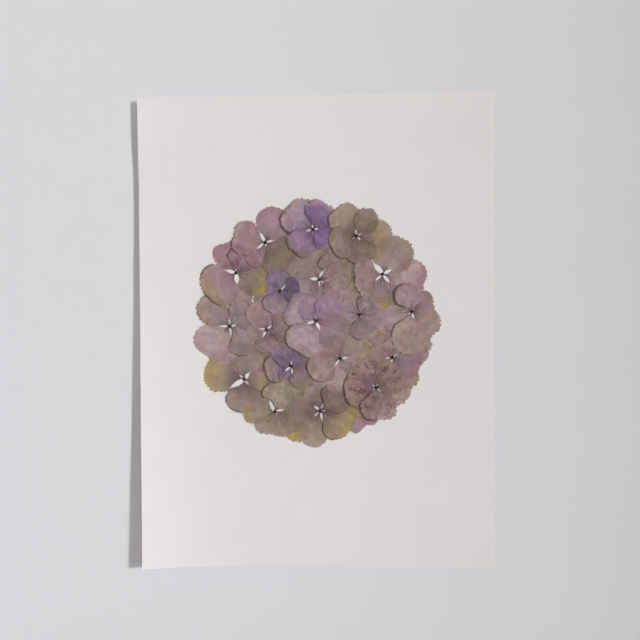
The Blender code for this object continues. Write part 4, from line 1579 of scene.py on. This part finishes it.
    def add_bud(self, work: Mesh) -> None:
        """Add the bud: a low ball with a cross of creases where its petals close.

        Args:
            work: The floret's mesh.
        """
        x, z = self.floret.x, self.floret.z
        ground = float(self.bed.height[self.bed.cell_at(x, z)])
        paper = float(self.sheet.face_height(np.array([x]), np.array([z]))[0])
        foot = paper + ground - self.bud_sink
        before = set(work.faces)
        ball = bmesh.ops.create_uvsphere(work, u_segments=self.bud_sides,
                                         v_segments=self.bud_rings, radius=1.0)["verts"]
        for vertex in ball:
            across, up, out = vertex.co
            turn = np.arctan2(up, across)
            crease = abs(cos(2 * turn + self.crease_turn * self.number)) ** self.crease_sharpness
            pinch = 1 - self.crease_depth * crease * at_least(self.least_crease, max(0.0, out))
            radius = self.bud_radius * (1 + self.bulge * sin(self.bulges * turn + self.number))
            rise = max(self.bud_foot, out) * self.bud_height * pinch
            vertex.co = Vector((x + across * radius * pinch, -(foot + rise),
                                z + up * radius * pinch)) * MM
        faces = [face for face in work.faces if face not in before]
        bmesh.ops.recalc_face_normals(work, faces=faces)
        for face in faces:
            face.smooth = True
            face.material_index = 1
        self.bed.press_bud(x, z, self.bud_radius, ground + self.bud_height - self.bud_sink)

    def build(self) -> bpy.types.Object:
        """Lay the sepals in order, then the bud.

        Returns:
            The floret's piece.
        """
        work = bmesh.new()
        for shape, number in self.numbered():
            self.blade(work, shape, number)
        if not self.tucked:
            self.add_bud(work)
        piece = finished_piece("pressed_" + self.floret.node, work, [self.petal, self.bud])
        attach(piece, BODY)
        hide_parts(self.floret.node)
        return piece


@dataclass(frozen=True)
class SoftLight:
    """A square area light: where it stands and what it faces, and its side, in metres.

    Its power is in watts, its colour sRGB hex and its spread in degrees.
    """

    name: str
    place: Triple
    aim: Triple
    side: float
    power: float
    colour: str
    spread: float = 180.0

    def build(self) -> bpy.types.Object:
        """Add the light.

        Returns:
            The light's object.
        """
        light = bpy.data.lights.new(self.name, "AREA")
        light.shape = "SQUARE"
        light.size = self.side
        light.energy = self.power
        light.spread = radians(self.spread)
        light.color = tuple(float(c) for c in linear(self.colour))
        holder = bpy.data.objects.new(self.name, light)
        holder.location = self.place
        beam = Vector(self.aim) - Vector(self.place)
        holder.rotation_euler = beam.to_track_quat("-Z", "Y").to_euler()
        bpy.context.scene.collection.objects.link(holder)
        return holder


@dataclass
class Studio:
    """The pale wall and floor, soft lights and the camera at the photograph's angle.

    Lengths are in metres, but for the wall's gap and the camera's sensor in mm. Turns are in
    degrees.
    """

    wall_colour: str = "E3E5E9"
    wall_roughness: float = 0.7
    wall_half_size: float = 1.6
    wall_gap: float = 0.4
    wall_turn: float = 1.05
    sheet_edge: float = 0.1143
    floor_colour: str = "E6E6E8"
    floor_roughness: float = 0.8
    floor_half_size: float = 2.5
    floor_drop: float = 0.34
    sky_colour: str = "F3ECE5"
    sky_strength: float = 0.34
    lamps: tuple[SoftLight, ...] = (
        SoftLight("key_light", (2.95, -3.95, 0.9), (-0.42, 0.0, 0.02), 1.1, 2.5, "FBFDFF", 10.0),
        SoftLight("fill_light", (0.2, -2.2, 0.8), (0.0, 0.0, 0.0), 1.2, 5.0, "FFEFE8"),
        SoftLight("back_fill", (0.8, 2.4, 1.2), (0.0, 0.0, 0.0), 2.0, 18.0, "FFFFFF"))
    camera_place: Triple = (0.0369, -0.6442, 0.0326)
    camera_turn: Triple = (3.051, -2.166, 0.405)
    focal_pixels: float = 1000.0
    image_width: float = 640.0
    sensor_width: float = 36.0

    def wall(self) -> bpy.types.Object:
        """Make the wall: a plain panel just behind the sheet, open to view from behind.

        Returns:
            The wall.
        """
        work = bmesh.new()
        bmesh.ops.create_grid(work, x_segments=1, y_segments=1, size=self.wall_half_size)
        slope = tan(radians(self.wall_turn))
        for vertex in work.verts:
            behind = self.wall_gap * MM + (self.sheet_edge - vertex.co.x) * slope
            up = vertex.co.y + self.wall_half_size - self.floor_drop
            vertex.co = Vector((vertex.co.x, behind, up))
        facing_along_y(work, work.faces[:], -1)
        material, tree, shader = new_material(
            "matt_painted_panel",
            {"Base Color": rgba(self.wall_colour), "Roughness": self.wall_roughness})
        side = add_node(tree, "ShaderNodeNewGeometry").outputs["Backfacing"]
        clear = add_node(tree, "ShaderNodeBsdfTransparent")
        mix = add_node(tree, "ShaderNodeMixShader",
                       inputs={0: side, 1: shader.outputs[0], 2: clear.outputs[0]})
        tree.links.new(mix.outputs[0], tree.nodes["Material Output"].inputs["Surface"])
        panel = finished_piece("studio_wall", work, [material])
        panel.visible_shadow = False
        return panel

    def floor(self) -> bpy.types.Object:
        """Make the pale floor.

        Returns:
            The floor.
        """
        work = bmesh.new()
        bmesh.ops.create_grid(work, x_segments=1, y_segments=1, size=self.floor_half_size)
        for vertex in work.verts:
            vertex.co.z = -self.floor_drop
        material, _, _ = new_material(
            "matt_pale_floor",
            {"Base Color": rgba(self.floor_colour), "Roughness": self.floor_roughness})
        ground = finished_piece("studio_floor", work, [material])
        return ground

    def sky(self) -> None:
        """Set the pale surroundings."""
        world = bpy.data.worlds.new("studio_world")
        world.use_nodes = True
        background = world.node_tree.nodes["Background"]
        background.inputs["Color"].default_value = rgba(self.sky_colour)
        background.inputs["Strength"].default_value = self.sky_strength
        bpy.context.scene.world = world

    def camera(self) -> bpy.types.Object:
        """Place the camera as the photograph was taken.

        Returns:
            The camera.
        """
        data = bpy.data.cameras.new("camera")
        data.sensor_width = self.sensor_width
        data.lens = self.sensor_width * self.focal_pixels / self.image_width
        camera = bpy.data.objects.new("camera", data)
        yaw, pitch, roll = (radians(turn) for turn in self.camera_turn)
        turn = (Euler((0, 0, yaw)).to_matrix() @ Euler((pitch, 0, 0)).to_matrix()
                @ Euler((0, roll, 0)).to_matrix() @ Euler((pi / 2, 0, 0)).to_matrix())
        camera.rotation_euler = turn.to_euler()
        camera.location = self.camera_place
        bpy.context.scene.collection.objects.link(camera)
        bpy.context.scene.camera = camera
        return camera

    def build(self) -> None:
        """Set up the whole studio: a window-like key light on the right and two broad fills."""
        self.wall()
        self.floor()
        for lamp in self.lamps:
            lamp.build()
        self.sky()
        self.camera()


def main() -> None:
    """Build the sheet, lay the florets from the lowest to the topmost, and set the studio."""
    logging.basicConfig(level=logging.INFO, format="%(message)s")
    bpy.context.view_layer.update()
    sheet = PaperSheet()
    LOG.info("built %s", sheet.build().name)
    bed = PressingBed()
    petal = PetalFinish().material()
    bud = BudFinish().material()
    pressed = [PressedFloret(floret, number, sheet, bed, petal, bud)
               for number, floret in enumerate(FLORETS)]
    for floret in pressed:
        floret.claim()
    for floret in pressed:
        piece = floret.build()
        LOG.info("built %s, %d faces", piece.name, len(piece.data.polygons))
    Studio().build()
    bpy.context.scene.view_settings.view_transform = "Standard"


if __name__ == "__main__":
    main()
